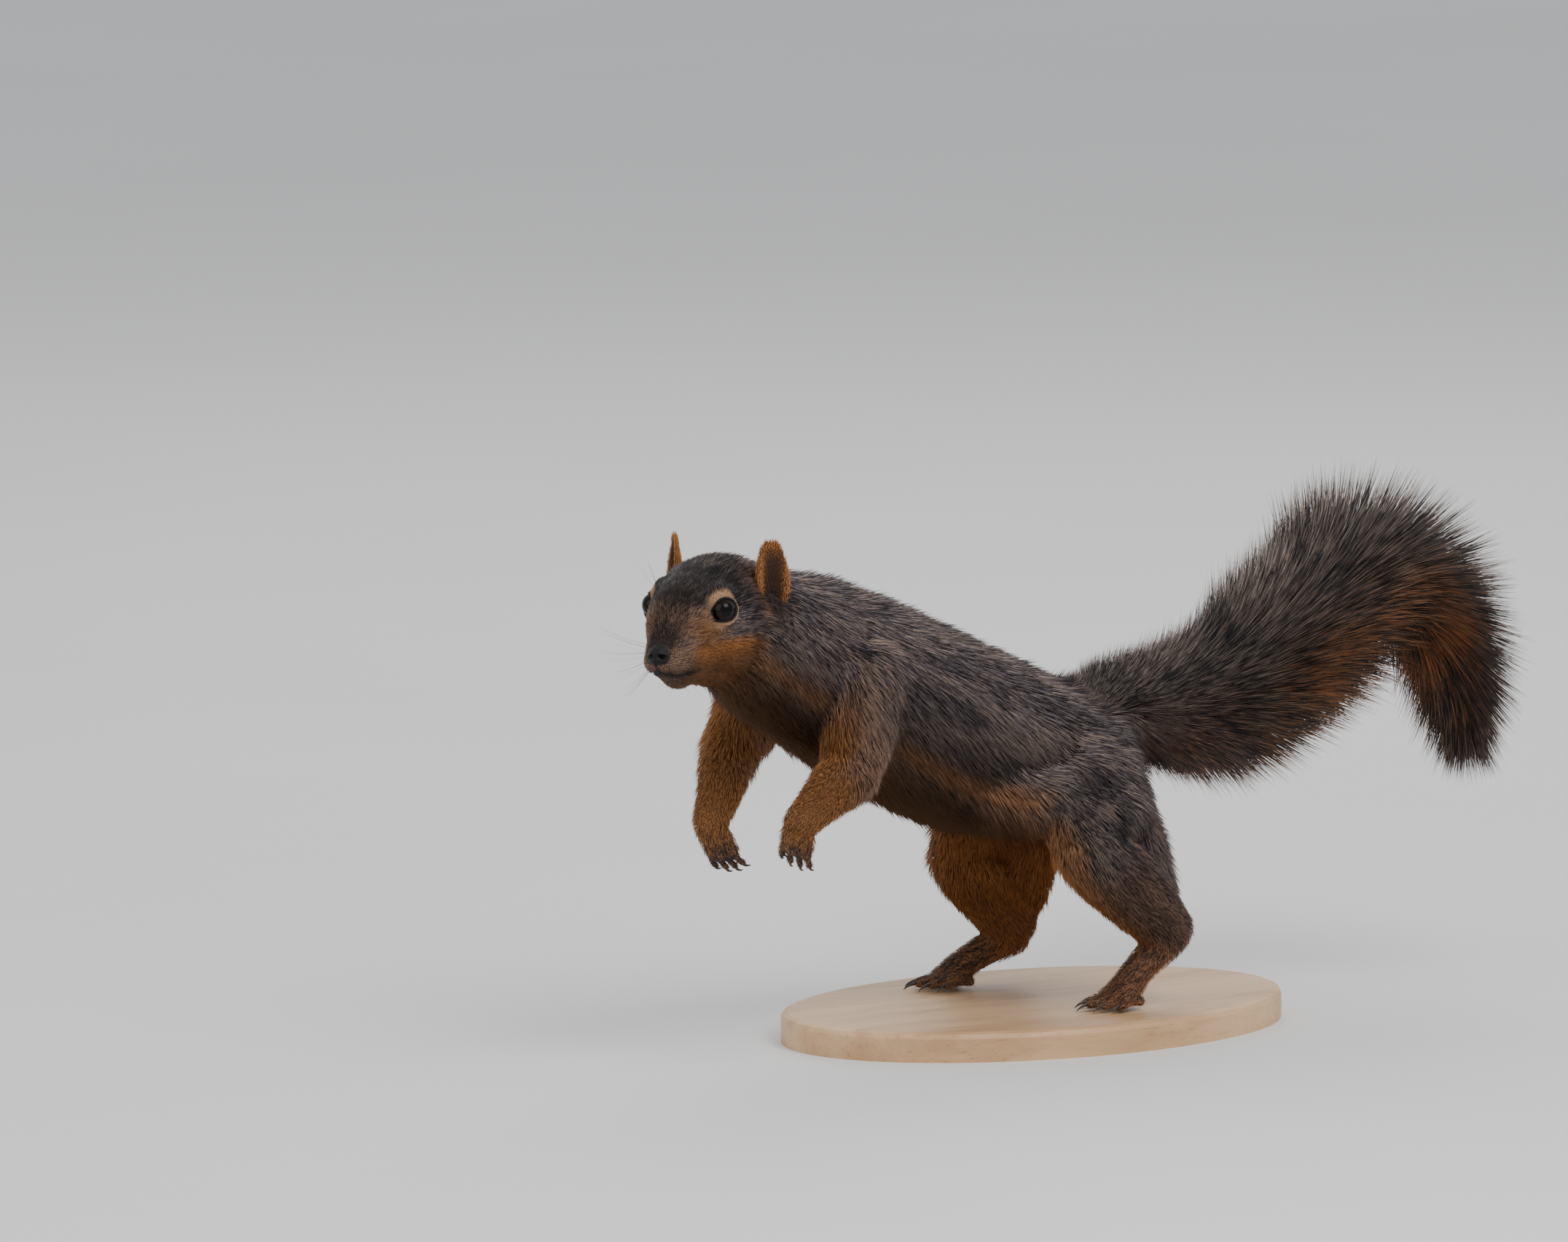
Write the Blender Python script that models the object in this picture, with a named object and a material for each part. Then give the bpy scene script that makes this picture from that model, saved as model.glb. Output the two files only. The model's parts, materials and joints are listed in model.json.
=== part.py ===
"""A fox squirrel in mid bound, life size, as a still museum model on a plain oval base.

The hind feet push off from the base, the trunk slopes up and forward, the forelegs hang free and the
tail streams behind and curls over. The solids reach out to the tips of the coat. Lengths are metres,
+Z is up and the pelvis faces -Y, so that the animal's left side is at +X. Named places are first given
above the ground between the hind feet; the last step stands everything on the base and centres it.
"""

import math

import bmesh
import bpy
import numpy as np
from mathutils import Matrix, Vector

MM = 0.001
GAP = 0.3 * MM  # clearance between neighbouring solids
WELD = 0.1 * MM  # slivers shorter than this are closed up

# Driving dimensions of the base.
BASE_LENGTH = 220 * MM
BASE_WIDTH = 140 * MM
BASE_THICKNESS = 12 * MM
BASE_EDGE = 2.5 * MM
BASE_SEGMENTS = 48
BASE_CENTRE_Y = -22 * MM

# Headings: turn to the animal's left of each part, from the pelvis's own heading along -Y.
CHEST_TURN = math.radians(15)
HEAD_TURN = math.radians(32)
HEAD_PITCH = math.radians(10)  # nose below the level of the eyes

# Making of the whole body.
RING_SIDES = 28
RINGS_PER_SPAN = 5
VOXEL = 1.1 * MM
SOFTENING = 44  # rounds of smoothing where limbs join
BODY_TRIANGLES = 3050


def mm(*numbers):
    """A vector given in millimetres."""
    return Vector(numbers) * MM


# Named places of the skeleton, in millimetres, on the animal's left (+X) and right (-X).
HEAD = mm(38.6, -203, 176)  # midway between the eyes
HIP = {"left": mm(19, -13, 97), "right": mm(-19, -14, 97)}
KNEE = {"left": mm(44, -27, 72), "right": mm(-41, -33, 60)}
HOCK = {"left": mm(36, 21, 28), "right": mm(-35, -9, 21)}
BALL = {"left": mm(38, -3, 7.2), "right": mm(-37, -37, 7.2)}
SHOULDER = {"left": mm(30, -121, 147), "right": mm(-6, -133, 146)}
ELBOW = {"left": mm(38, -128, 107), "right": mm(-12, -154, 112)}
WRIST = {"left": mm(55, -162, 89), "right": mm(5, -174, 83)}
KNUCKLE = {"left": mm(51, -161.5, 79), "right": mm(4, -168, 71)}

SIDES = {"left": 1.0, "right": -1.0}

# Trunk stations from the rump to the skull: centre, half width, rise above and fall below it.
TRUNK = [
    (mm(0, 20, 93), 9, 8, 8),
    (mm(0, 10, 94), 21, 18, 20),
    (mm(0, -7, 97), 29, 26, 28),
    (mm(0, -30, 104), 32, 30, 35),
    (mm(1, -58, 113), 33, 34, 39),
    (mm(4, -88, 126), 33, 35, 38.5),
    (mm(9, -114, 138), 31, 34, 36),
    (mm(14, -136, 149), 27, 31, 33),
    (mm(21, -156, 158), 23, 27, 29),
    (mm(28, -172, 166), 21, 24, 26),
    (mm(33, -186, 170), 19, 19, 22),
]

# Tail stations from its root to its tip: centre, half width, rise and fall.
TAIL = [
    (mm(0, -8, 103), 12, 22, 10),
    (mm(0, 12, 111), 19, 25, 18),
    (mm(-1, 38, 113), 25, 28, 28),
    (mm(-3, 64, 118), 29, 32, 33),
    (mm(-5, 88, 130), 31, 34, 35),
    (mm(-6, 110, 144), 32, 36, 36),
    (mm(-6, 128, 157), 31, 35, 36),
    (mm(-6, 145, 159), 30, 34, 33),
    (mm(-5, 160, 152), 27, 31, 30),
    (mm(-4, 173, 138), 23, 26, 25),
    (mm(-3, 182, 118), 19, 19, 20),
    (mm(-2, 186, 97), 12, 12, 12),
    (mm(-1, 189, 80), 4, 4, 4),
]
TAIL_CUTS = (0.142, 0.35, 0.55, 0.77)  # shares of the tail's route where it is parted

# Head sections, ahead of (+) or behind the eyes: distance, top, bottom and half width.
HEAD_SECTIONS = [
    (29.0, -9.5, -14.5, 2.8),
    (27.0, -7.3, -18.0, 5.4),
    (22.0, -3.3, -22.5, 8.3),
    (14.0, 2.8, -27.0, 11.4),
    (7.0, 8.2, -28.0, 14.8),
    (0.0, 12.2, -27.5, 17.8),
    (-8.0, 14.5, -27.0, 20.5),
    (-17.0, 15.2, -26.5, 22.6),
    (-26.0, 13.8, -26.0, 21.8),
    (-35.0, 9.5, -24.0, 19.5),
    (-43.0, 2.0, -18.0, 13.0),
]

EYE_RADIUS = 5.7 * MM
EYE_PLACE = (14.5, -0.7, -0.3)  # side, ahead and up, in the head's frame
EAR_ROOT = (19.6, -29.5, -8.0)
EAR_TIP = (21.8, -27.0, 21.2)
EAR_HALF_WIDTH = 8.4 * MM
EAR_THICKNESS = 2.0 * MM
EAR_CUP = 4.5 * MM
EAR_FACING = math.radians(50)  # of its opening, outward from straight ahead
HEAD_CUT = -37  # millimetres ahead of the eyes where the head meets the neck
MUZZLE_CUT = 13


def clear_scene():
    """Empties the scene of everything that it starts with."""
    for found in list(bpy.data.objects):
        bpy.data.objects.remove(found, do_unlink=True)


def material(name, colour, roughness, metallic=0.0):
    """A plain Principled surface."""
    made = bpy.data.materials.get(name) or bpy.data.materials.new(name)
    made.use_nodes = True
    shader = made.node_tree.nodes["Principled BSDF"]
    shader.inputs["Base Color"].default_value = (*colour, 1.0)
    shader.inputs["Roughness"].default_value = roughness
    shader.inputs["Metallic"].default_value = metallic
    return made


def add_object(name, mesh):
    """Links a mesh into the scene as an object."""
    made = bpy.data.objects.new(name, mesh)
    bpy.context.scene.collection.objects.link(made)
    return made


def mesh_from(name, points, faces):
    """A mesh of these points and faces, its normals facing out."""
    mesh = bpy.data.meshes.new(name)
    mesh.from_pydata([tuple(p) for p in points], [], faces)
    body = bmesh.new()
    body.from_mesh(mesh)
    bmesh.ops.recalc_face_normals(body, faces=body.faces)
    body.to_mesh(mesh)
    body.free()
    return mesh


def evaluated(obj):
    """The mesh of an object with its modifiers applied; the object itself is removed."""
    graph = bpy.context.evaluated_depsgraph_get()
    mesh = bpy.data.meshes.new_from_object(obj.evaluated_get(graph))
    mesh.transform(obj.matrix_world)
    bpy.data.objects.remove(obj, do_unlink=True)
    return mesh


def catmull_rom(values, share):
    """The smooth curve through rows of values, at a share from 0 to 1 of its length."""
    rows = np.asarray(values, float)
    place = min(max(share, 0.0), 1.0) * (len(rows) - 1)
    i = min(int(place), len(rows) - 2)
    t = place - i
    before = rows[i - 1] if i > 0 else 2 * rows[0] - rows[1]
    after = rows[i + 2] if i + 2 < len(rows) else 2 * rows[-1] - rows[-2]
    a, b = rows[i], rows[i + 1]
    return 0.5 * (
        2 * a + (b - before) * t + (2 * before - 5 * a + 4 * b - after) * t**2
        + (3 * a - before - 3 * b + after) * t**3
    )


def densified(stations):
    """Smoothly interpolated (centre, half width, rise, fall) rows, in metres."""
    rows = [(*centre, width * MM, rise * MM, fall * MM) for centre, width, rise, fall in stations]
    count = (len(rows) - 1) * RINGS_PER_SPAN + 1
    dense = [catmull_rom(rows, k / (count - 1)) for k in range(count)]
    return [(Vector(row[:3]), row[3], row[4], row[5]) for row in dense]


def tube(name, stations, up=Vector((0, 0, 1)), squareness=2.0):
    """A closed tube of egg-shaped rings through the stations, rounded off by its small end rings."""
    rows = densified(stations)
    points, faces = [], []
    for k, (centre, width, rise, fall) in enumerate(rows):
        ahead = rows[min(k + 1, len(rows) - 1)][0] - rows[max(k - 1, 0)][0]
        side = ahead.cross(up).normalized()
        over = side.cross(ahead).normalized()
        for j in range(RING_SIDES):
            angle = 2 * math.pi * j / RING_SIDES
            c, s = math.cos(angle), math.sin(angle)
            c = math.copysign(abs(c) ** (2 / squareness), c)
            s = math.copysign(abs(s) ** (2 / squareness), s)
            points.append(centre + side * (width * c) + over * ((rise if s > 0 else fall) * s))
    for k in range(len(rows) - 1):
        for j in range(RING_SIDES):
            a, b = k * RING_SIDES + j, k * RING_SIDES + (j + 1) % RING_SIDES
            faces.append((a, b, b + RING_SIDES, a + RING_SIDES))
    faces.append(tuple(range(RING_SIDES)))
    faces.append(tuple(range(len(points) - RING_SIDES, len(points))))
    return mesh_from(name, points, faces)


def round_tube(name, places, radii, up=Vector((0, 0, 1))):
    """A closed round tube through places given in metres, with radii in millimetres."""
    return tube(name, [(p, r, r, r) for p, r in zip(places, radii)], up)


def ellipsoid(name, centre, radii, frame=None, sides=28):
    """An ellipsoid with its radii, in millimetres, along the columns of a rotation."""
    body = bmesh.new()
    bmesh.ops.create_uvsphere(body, u_segments=sides, v_segments=sides * 5 // 8, radius=1.0)
    scale = Matrix.Diagonal((*[r * MM for r in radii], 1.0))
    turn = frame.to_4x4() if frame else Matrix.Identity(4)
    body.transform(Matrix.Translation(centre) @ turn @ scale)
    bmesh.ops.recalc_face_normals(body, faces=body.faces)
    mesh = bpy.data.meshes.new(name)
    body.to_mesh(mesh)
    body.free()
    return mesh


def turned_frame(turn, pitch=0.0):
    """Rotation whose columns are a part's left, forward and up, from its turn and its downward pitch."""
    left = Vector((math.cos(turn), math.sin(turn), 0))
    level = Vector((math.sin(turn), -math.cos(turn), 0))
    forward = level * math.cos(pitch) - Vector((0, 0, 1)) * math.sin(pitch)
    return Matrix((left, forward, forward.cross(left))).transposed()


HEAD_FRAME = turned_frame(HEAD_TURN, HEAD_PITCH)


def in_head(side, ahead, up):
    """A place in the head, in millimetres from the point between the eyes."""
    return HEAD + HEAD_FRAME @ mm(side, ahead, up)


def head_meshes():
    """The skull's tube with its cheeks, whisker pads, brows and chin."""
    sections = []
    for ahead, top, bottom, width in HEAD_SECTIONS:
        middle = top * 0.45 + bottom * 0.55
        sections.append((in_head(0, ahead, middle), width, top - middle, middle - bottom))
    made = [tube("skull", sections, HEAD_FRAME.col[2], 2.15)]
    for side in SIDES.values():
        made += [
            ellipsoid("cheek", in_head(11.5 * side, -12, -14), (11.2, 17, 11.5), HEAD_FRAME),
            ellipsoid("whisker_pad", in_head(4.2 * side, 20, -15.5), (5.0, 7.5, 5.6), HEAD_FRAME),
            ellipsoid("brow", in_head(12.8 * side, -2, 4.6), (5.4, 8.5, 5), HEAD_FRAME),
        ]
    made.append(ellipsoid("chin", in_head(0, 12, -24), (6.2, 8.0, 4.4), HEAD_FRAME))
    made.append(ellipsoid("nose", in_head(0, 26, -11), (4.6, 4.2, 4.0), HEAD_FRAME))
    return made


def toes(name, roots, spread, length, radius, droop, frame):
    """Toes as tapered tubes with a hooked claw each: roots across the paw, fanned by spread."""
    made = []
    count = len(roots)
    for k, root in enumerate(roots):
        fan = (0.5 - k / (count - 1)) * 2 * spread
        aim = Matrix.Rotation(fan, 3, "Z") @ Vector((0, 1, 0))
        middle = 1.0 - 0.22 * abs(k / (count - 1) - 0.5) * 2
        reach = length * middle
        steps = [(-0.2, 0.0, 1.15), (0.25, 0.5, 1.0), (0.7, 0.0, 0.95), (0.95, -0.6, 0.55), (1.2, -1.7, 0.2)]
        places, radii = [], []
        for share, lift, thick in steps:
            local = aim * (reach * share) + Vector((0, 0, lift + droop * max(share, 0) ** 2))
            places.append(root + frame @ (local * MM))
            radii.append(radius * thick)
        made.append(round_tube(f"{name}_{k}", places, radii, frame.col[2]))
    return made


def frame_along(forward, up_hint):
    """Rotation whose columns are left, forward and up, from a heading and a rough up."""
    forward = forward.normalized()
    left = up_hint.cross(forward).normalized()
    return Matrix((left, forward, forward.cross(left))).transposed()


def foreleg_meshes(side):
    """Upper arm, forearm and hanging paw of one foreleg."""
    shoulder, elbow, wrist, knuckle = SHOULDER[side], ELBOW[side], WRIST[side], KNUCKLE[side]
    made = [
        round_tube(
            "upper_arm",
            [shoulder + (shoulder - elbow) * 0.3, shoulder, shoulder.lerp(elbow, 0.5), elbow,
             elbow + (elbow - shoulder) * 0.16],
            [8, 17.5, 16, 11.5, 5],
        ),
        round_tube(
            "forearm",
            [elbow + (elbow - wrist) * 0.2, elbow, elbow.lerp(wrist, 0.35), elbow.lerp(wrist, 0.75), wrist,
             wrist.lerp(knuckle, 0.5), knuckle],
            [6, 11.6, 10.0, 8.0, 7.0, 6.6, 5.6],
        ),
    ]
    hand = frame_along(knuckle - wrist, wrist - elbow)
    roots = [knuckle + hand @ mm(x, 0, 0) for x in (-6.0, -2.0, 2.0, 6.0)]
    made += toes(f"finger_{side}", roots, 0.3, 9.5, 1.8, -2.4, hand)
    return made


def hindleg_meshes(side):
    """Thigh, shank and foot of one hind leg."""
    hip, knee, hock, ball = HIP[side], KNEE[side], HOCK[side], BALL[side]
    thigh_up = Vector((0, 0.3, 1))
    middle = hip.lerp(knee, 0.5) + mm(0, 7, -2)
    made = [
        tube(
            "thigh",
            [(hip + mm(0, 8, 8), 14, 10, 14), (hip.lerp(knee, 0.15) + mm(0, 5, 2), 22, 18, 23),
             (hip.lerp(knee, 0.5) + mm(0, 6, -1), 23, 18, 22), (hip.lerp(knee, 0.8) + mm(0, 2, 0), 19, 14, 17),
             (knee, 13.5, 11.5, 12), (knee + (knee - hip) * 0.2, 4, 3, 3)],
            thigh_up,
        ),
        round_tube(
            "shank",
            [knee + (knee - hock) * 0.12, knee, knee.lerp(hock, 0.3), knee.lerp(hock, 0.65), hock,
             hock + (hock - knee) * 0.1],
            [6, 13, 15.5, 14, 10.5, 4],
        ),
        tube(
            "ham",
            [(hip + mm(0, 16, -2), 12, 8, 10), (hip.lerp(hock, 0.3) + mm(0, 5, 2), 18, 13, 14),
             (hip.lerp(hock, 0.62) + mm(0, 3, 2), 13, 11, 11), (hip.lerp(hock, 0.9), 8, 7, 7),
             (hock, 5, 4, 4)],
            thigh_up,
        ),
        round_tube(
            "instep",
            [hock + (hock - ball) * 0.16, hock, hock.lerp(ball, 0.5), ball, ball + (ball - hock) * 0.12],
            [3.5, 8.2, 7.4, 6.6, 4.0],
        ),
    ]
    heading = Vector((ball.x - hock.x, ball.y - hock.y, 0))
    foot = frame_along(heading, Vector((0, 0, 1)))
    roots = [ball + foot @ mm(x, y, -4.2) for x, y in ((-7.4, -3.4), (-4.1, 0), (0, 1.2), (4.1, 0), (7.4, -3.4))]
    made += toes(f"toe_{side}", roots, 0.26, 17, 2.1, -0.5, foot)
    return made


def fused(name, meshes, voxel):
    """One closed skin round overlapping meshes."""
    body = bmesh.new()
    for mesh in meshes:
        body.from_mesh(mesh)
    joined = bpy.data.meshes.new(name)
    body.to_mesh(joined)
    body.free()
    obj = add_object(name, joined)
    remesh = obj.modifiers.new("Skin", "REMESH")
    remesh.mode = "VOXEL"
    remesh.voxel_size = voxel
    remesh.use_smooth_shade = True
    return obj


def softened(obj, repeats):
    """Rounds the creases where limbs join, and leaves the paws and the muzzle as they are."""
    mesh = evaluated(obj)
    obj = add_object("whole", mesh)
    group = obj.vertex_groups.new(name="soft")
    firm = [(WRIST["left"], 20), (WRIST["right"], 20), (KNUCKLE["left"], 30), (KNUCKLE["right"], 30),
            (BALL["left"], 36), (BALL["right"], 36), (HOCK["left"], 14), (HOCK["right"], 14),
            (in_head(0, 24, -12), 16)]
    for vertex in mesh.vertices:
        weight = 1.0
        for place, reach in firm:
            weight = min(weight, ((vertex.co - place).length / MM / reach) ** 3)
        group.add([vertex.index], max(weight, 0.05), "REPLACE")
    smooth = obj.modifiers.new("Soften", "SMOOTH")
    smooth.factor = 0.5
    smooth.iterations = repeats
    smooth.vertex_group = "soft"
    return obj


def decimated(obj, triangles):
    """The object's mesh brought down to about this many triangles."""
    mesh = evaluated(obj)
    count = sum(len(p.vertices) - 2 for p in mesh.polygons)
    obj = add_object("whole", mesh)
    fewer = obj.modifiers.new("Fewer", "DECIMATE")
    fewer.ratio = min(1.0, triangles / count)
    return evaluated(obj)


def whole_body():
    """The body without ears and eyes, as one mesh out to the tips of the coat."""
    meshes = [tube("trunk", TRUNK, squareness=2.1), tube("tail", TAIL)]
    meshes += head_meshes()
    for side in SIDES:
        meshes += foreleg_meshes(side) + hindleg_meshes(side)
    return decimated(softened(fused("whole", meshes, VOXEL), SOFTENING), BODY_TRIANGLES)


def ear_mesh(side):
    """One ear: a flattened egg, wide at its root, hollowed towards its opening."""
    root = in_head(EAR_ROOT[0] * side, EAR_ROOT[1], EAR_ROOT[2])
    tip = in_head(EAR_TIP[0] * side, EAR_TIP[1], EAR_TIP[2])
    along = (tip - root).normalized()
    out = HEAD_FRAME @ Vector((math.sin(EAR_FACING) * side, math.cos(EAR_FACING), 0))
    out = (out - along * out.dot(along)).normalized()
    across = along.cross(out)
    half = (tip - root).length / 2
    middle = root.lerp(tip, 0.5)
    body = bmesh.new()
    bmesh.ops.create_uvsphere(body, u_segments=14, v_segments=9, radius=1.0)
    for vertex in body.verts:
        a, b, c = vertex.co
        v = (c + 1) / 2
        a *= 1.06 - 0.30 * v * v
        hollow = EAR_CUP * max(0.0, 1 - a * a) * (1.0 - 0.75 * v)
        vertex.co = (
            middle + along * (half * c) + across * (EAR_HALF_WIDTH * a)
            + out * (EAR_THICKNESS * 0.5 * b - hollow + EAR_CUP * 0.15)
        )
    bmesh.ops.recalc_face_normals(body, faces=body.faces)
    mesh = bpy.data.meshes.new("ear")
    body.to_mesh(mesh)
    body.free()
    return mesh


def along_cutter(start, ahead, radius, length):
    """A drum whose flat face is at start and which reaches ahead; grows by the amount asked for."""
    direction = ahead.normalized()

    def made(grow):
        body = bmesh.new()
        size = radius * MM + grow
        depth = length * MM + 2 * grow
        bmesh.ops.create_cone(
            body, cap_ends=True, segments=20, radius1=size, radius2=size, depth=depth
        )
        turn = direction.to_track_quat("Z", "Y").to_matrix().to_4x4()
        centre = start + direction * (depth / 2 - grow)
        body.transform(Matrix.Translation(centre) @ turn)
        mesh = bpy.data.meshes.new("drum")
        body.to_mesh(mesh)
        body.free()
        return mesh

    return made


def egg_cutter(centre, radii, frame=None):
    """An ellipsoid with radii in millimetres, which grows by the amount asked for."""

    def made(grow):
        return ellipsoid("egg", centre, [r + grow / MM for r in radii], frame, 16)

    return made


def combined(first, second, operation):
    """The exact Boolean of two meshes."""
    body = add_object("body", first)
    tool = add_object("tool", second)
    step = body.modifiers.new("Cut", "BOOLEAN")
    step.operation = operation
    step.solver = "EXACT"
    step.object = tool
    mesh = evaluated(body)
    bpy.data.objects.remove(tool, do_unlink=True)
    return mesh


def biggest_piece(mesh):
    """Keeps only the largest connected piece, welds slivers and turns every face into triangles."""
    body = bmesh.new()
    body.from_mesh(mesh)
    left = set(body.verts)
    groups = []
    while left:
        start = left.pop()
        group, queue = {start}, [start]
        while queue:
            for edge in queue.pop().link_edges:
                for other in edge.verts:
                    if other in left:
                        left.discard(other)
                        group.add(other)
                        queue.append(other)
        groups.append(group)
    groups.sort(key=len)
    for group in groups[:-1]:
        bmesh.ops.delete(body, geom=list(group), context="VERTS")
    bmesh.ops.remove_doubles(body, verts=body.verts, dist=WELD)
    bmesh.ops.dissolve_degenerate(body, edges=body.edges, dist=0.01 * MM)
    bmesh.ops.triangulate(body, faces=body.faces)
    body.to_mesh(mesh)
    body.free()
    return mesh


def leg_cutters(side):
    """Cutters of one side's limb parts, from the tips inward."""
    sign = SIDES[side]
    shoulder, elbow, wrist, knuckle = SHOULDER[side], ELBOW[side], WRIST[side], KNUCKLE[side]
    hip, knee, hock, ball = HIP[side], KNEE[side], HOCK[side], BALL[side]
    out = Vector((math.cos(CHEST_TURN), math.sin(CHEST_TURN), -0.3)) * sign
    out.z = -0.3
    arm_start = shoulder.lerp(elbow, 0.5) - out.normalized() * (7 * MM)
    thigh_start = hip.lerp(knee, 0.5) + mm(-13 * sign, 4, -1)
    return [
        (f"{side}_hand", along_cutter(wrist.lerp(knuckle, -0.05), knuckle - wrist, 15, 45)),
        (f"{side}_forearm", along_cutter(elbow.lerp(wrist, 0.18), wrist - elbow, 19, 60)),
        (f"{side}_upper_arm", along_cutter(arm_start, out, 27, 50)),
        (f"{side}_hind_foot", along_cutter(hock + mm(0, 0, -5), mm(0, 0, -1), 60, 40)),
        (f"{side}_shank", along_cutter(knee.lerp(hock, 0.42), hock - knee, 27, 48)),
        (f"{side}_thigh", along_cutter(thigh_start, mm(sign, 0, -0.12), 41, 60)),
    ]


def axial_cutters():
    """Cutters of the tail, the head and the trunk, in the order in which they are taken."""
    tail = [place for place, _, _, _ in TAIL]
    made = []
    names = ["tail_base", "tail_middle", "tail_arch", "tail_tip"]
    for name, share in reversed(list(zip(names, TAIL_CUTS))):
        place = Vector(catmull_rom(tail, share))
        ahead = Vector(catmull_rom(tail, share + 0.03)) - Vector(catmull_rom(tail, share - 0.03))
        made.append((name, along_cutter(place, ahead, 47, 95)))
    forward = HEAD_FRAME.col[1]
    made += [
        ("nose", egg_cutter(in_head(0, 27.5, -10.2), (5.2, 4.2, 3.9), HEAD_FRAME)),
        ("lower_jaw", egg_cutter(in_head(0, 12, -31), (11.0, 17.0, 8.6), HEAD_FRAME)),
        ("muzzle", along_cutter(in_head(0, MUZZLE_CUT, -10), forward, 30, 30)),
        ("head", along_cutter(in_head(0, HEAD_CUT, -6), forward, 46, 95)),
        ("neck", along_cutter(mm(15, -139, 150), mm(20, -36, 22), 52, 70)),
        ("chest", along_cutter(mm(5, -92, 127), mm(10, -56, 25), 60, 95)),
        ("loin", along_cutter(mm(0, -40, 107), mm(2, -58, 22), 60, 75)),
    ]
    return made


def base_mesh():
    """The oval base, bevelled along its top edge."""
    body = bmesh.new()
    bmesh.ops.create_cone(
        body, cap_ends=True, segments=BASE_SEGMENTS, radius1=0.5, radius2=0.5, depth=1.0
    )
    body.transform(Matrix.Diagonal((BASE_WIDTH, BASE_LENGTH, BASE_THICKNESS, 1.0)))
    body.transform(Matrix.Translation(Vector((0, BASE_CENTRE_Y, -GAP - BASE_THICKNESS / 2))))
    rim = [e for e in body.edges if all(v.co.z > -GAP - 0.1 * MM for v in e.verts)]
    bmesh.ops.bevel(body, geom=rim, offset=BASE_EDGE, segments=2, profile=0.5, affect="EDGES")
    mesh = bpy.data.meshes.new("stand_base")
    body.to_mesh(mesh)
    body.free()
    return mesh


def swollen(mesh, amount):
    """A copy of a mesh, grown along its normals."""
    made = mesh.copy()
    normals = [v.normal.copy() for v in made.vertices]
    for vertex, normal in zip(made.vertices, normals):
        vertex.co += normal * amount
    return made


MATERIALS = {
    "coat_grizzled": ((0.115, 0.085, 0.072), 0.75),
    "coat_rufous": ((0.32, 0.13, 0.05), 0.75),
    "coat_tail": ((0.10, 0.055, 0.038), 0.8),
    "ear_skin": ((0.16, 0.06, 0.032), 0.8),
    "paw": ((0.07, 0.04, 0.03), 0.7),
    "nose_leather": ((0.012, 0.011, 0.012), 0.45),
    "eye_gloss": ((0.006, 0.005, 0.005), 0.05),
    "base_wood": ((0.55, 0.40, 0.26), 0.5),
}

FINISH = {
    "nose": "nose_leather", "lower_jaw": "coat_rufous", "stand_base": "base_wood",
    "head": "coat_grizzled", "muzzle": "coat_grizzled",
}


def finish_of(name):
    """The material of a node, from its name."""
    if name in FINISH:
        return FINISH[name]
    for part, finish in (
        ("eye", "eye_gloss"), ("ear", "ear_skin"), ("tail", "coat_tail"), ("hand", "paw"),
        ("foot", "paw"), ("forearm", "coat_rufous"), ("shank", "coat_rufous"),
    ):
        if name.endswith(part) or name.startswith(part):
            return finish
    return "coat_grizzled"


def finished(name, mesh, shift):
    """Links a node with its finish, moved onto the base and shaded smooth."""
    for polygon in mesh.polygons:
        polygon.use_smooth = name != "stand_base"
    mesh.name = name
    mesh.transform(Matrix.Translation(shift))
    mesh.materials.clear()
    made = add_object(name, mesh)
    colour, roughness = MATERIALS[finish_of(name)]
    mesh.materials.append(material(finish_of(name), colour, roughness))
    return made


def main():
    """Builds every node."""
    clear_scene()
    nodes = {"stand_base": base_mesh()}
    rest = whole_body()
    ground = along_cutter(mm(0, 0, 0), mm(0, 0, -1), 200, 30)(0)
    rest = biggest_piece(combined(rest, ground, "DIFFERENCE"))
    for side in SIDES:
        place = in_head(EYE_PLACE[0] * SIDES[side], EYE_PLACE[1], EYE_PLACE[2])
        nodes[f"{side}_eye"] = ellipsoid("eye", place, [EYE_RADIUS / MM] * 3, sides=16)
        socket = ellipsoid("socket", place, [(EYE_RADIUS + GAP) / MM + 0.1] * 3, sides=16)
        nodes[f"{side}_ear"] = biggest_piece(combined(ear_mesh(SIDES[side]), swollen(rest, GAP), "DIFFERENCE"))
        rest = combined(rest, socket, "DIFFERENCE")
    takes = [cutter for side in SIDES for cutter in leg_cutters(side)] + axial_cutters()
    for name, cutter in takes:
        nodes[name] = biggest_piece(combined(rest.copy(), cutter(0), "INTERSECT"))
        rest = biggest_piece(combined(rest, cutter(GAP), "DIFFERENCE"))
    nodes["pelvis"] = rest
    points = [v.co for mesh in nodes.values() for v in mesh.vertices]
    low = Vector([min(p[k] for p in points) for k in range(3)])
    high = Vector([max(p[k] for p in points) for k in range(3)])
    shift = -Vector(((low.x + high.x) / 2, (low.y + high.y) / 2, low.z))
    for name, mesh in nodes.items():
        finished(name, mesh, shift)


main()
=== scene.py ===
"""Looks of a life-size fox squirrel on a base: one skin, a coat of solid tufts, eyes, claws and whiskers.

Lengths are metres and angles radians, except where a note or a docstring says millimetres. The animal faces
-Y, its left side is at +X and +Z is up. Named places of the body are given in millimetres above the ground
between the hind feet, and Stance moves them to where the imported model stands.
"""

from __future__ import annotations

import json
import logging
import math
from collections.abc import Iterable, Sequence
from dataclasses import dataclass, field
from enum import Enum
from typing import Any

import bmesh
import bpy
import numpy as np
from mathutils import Matrix, Vector

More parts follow.
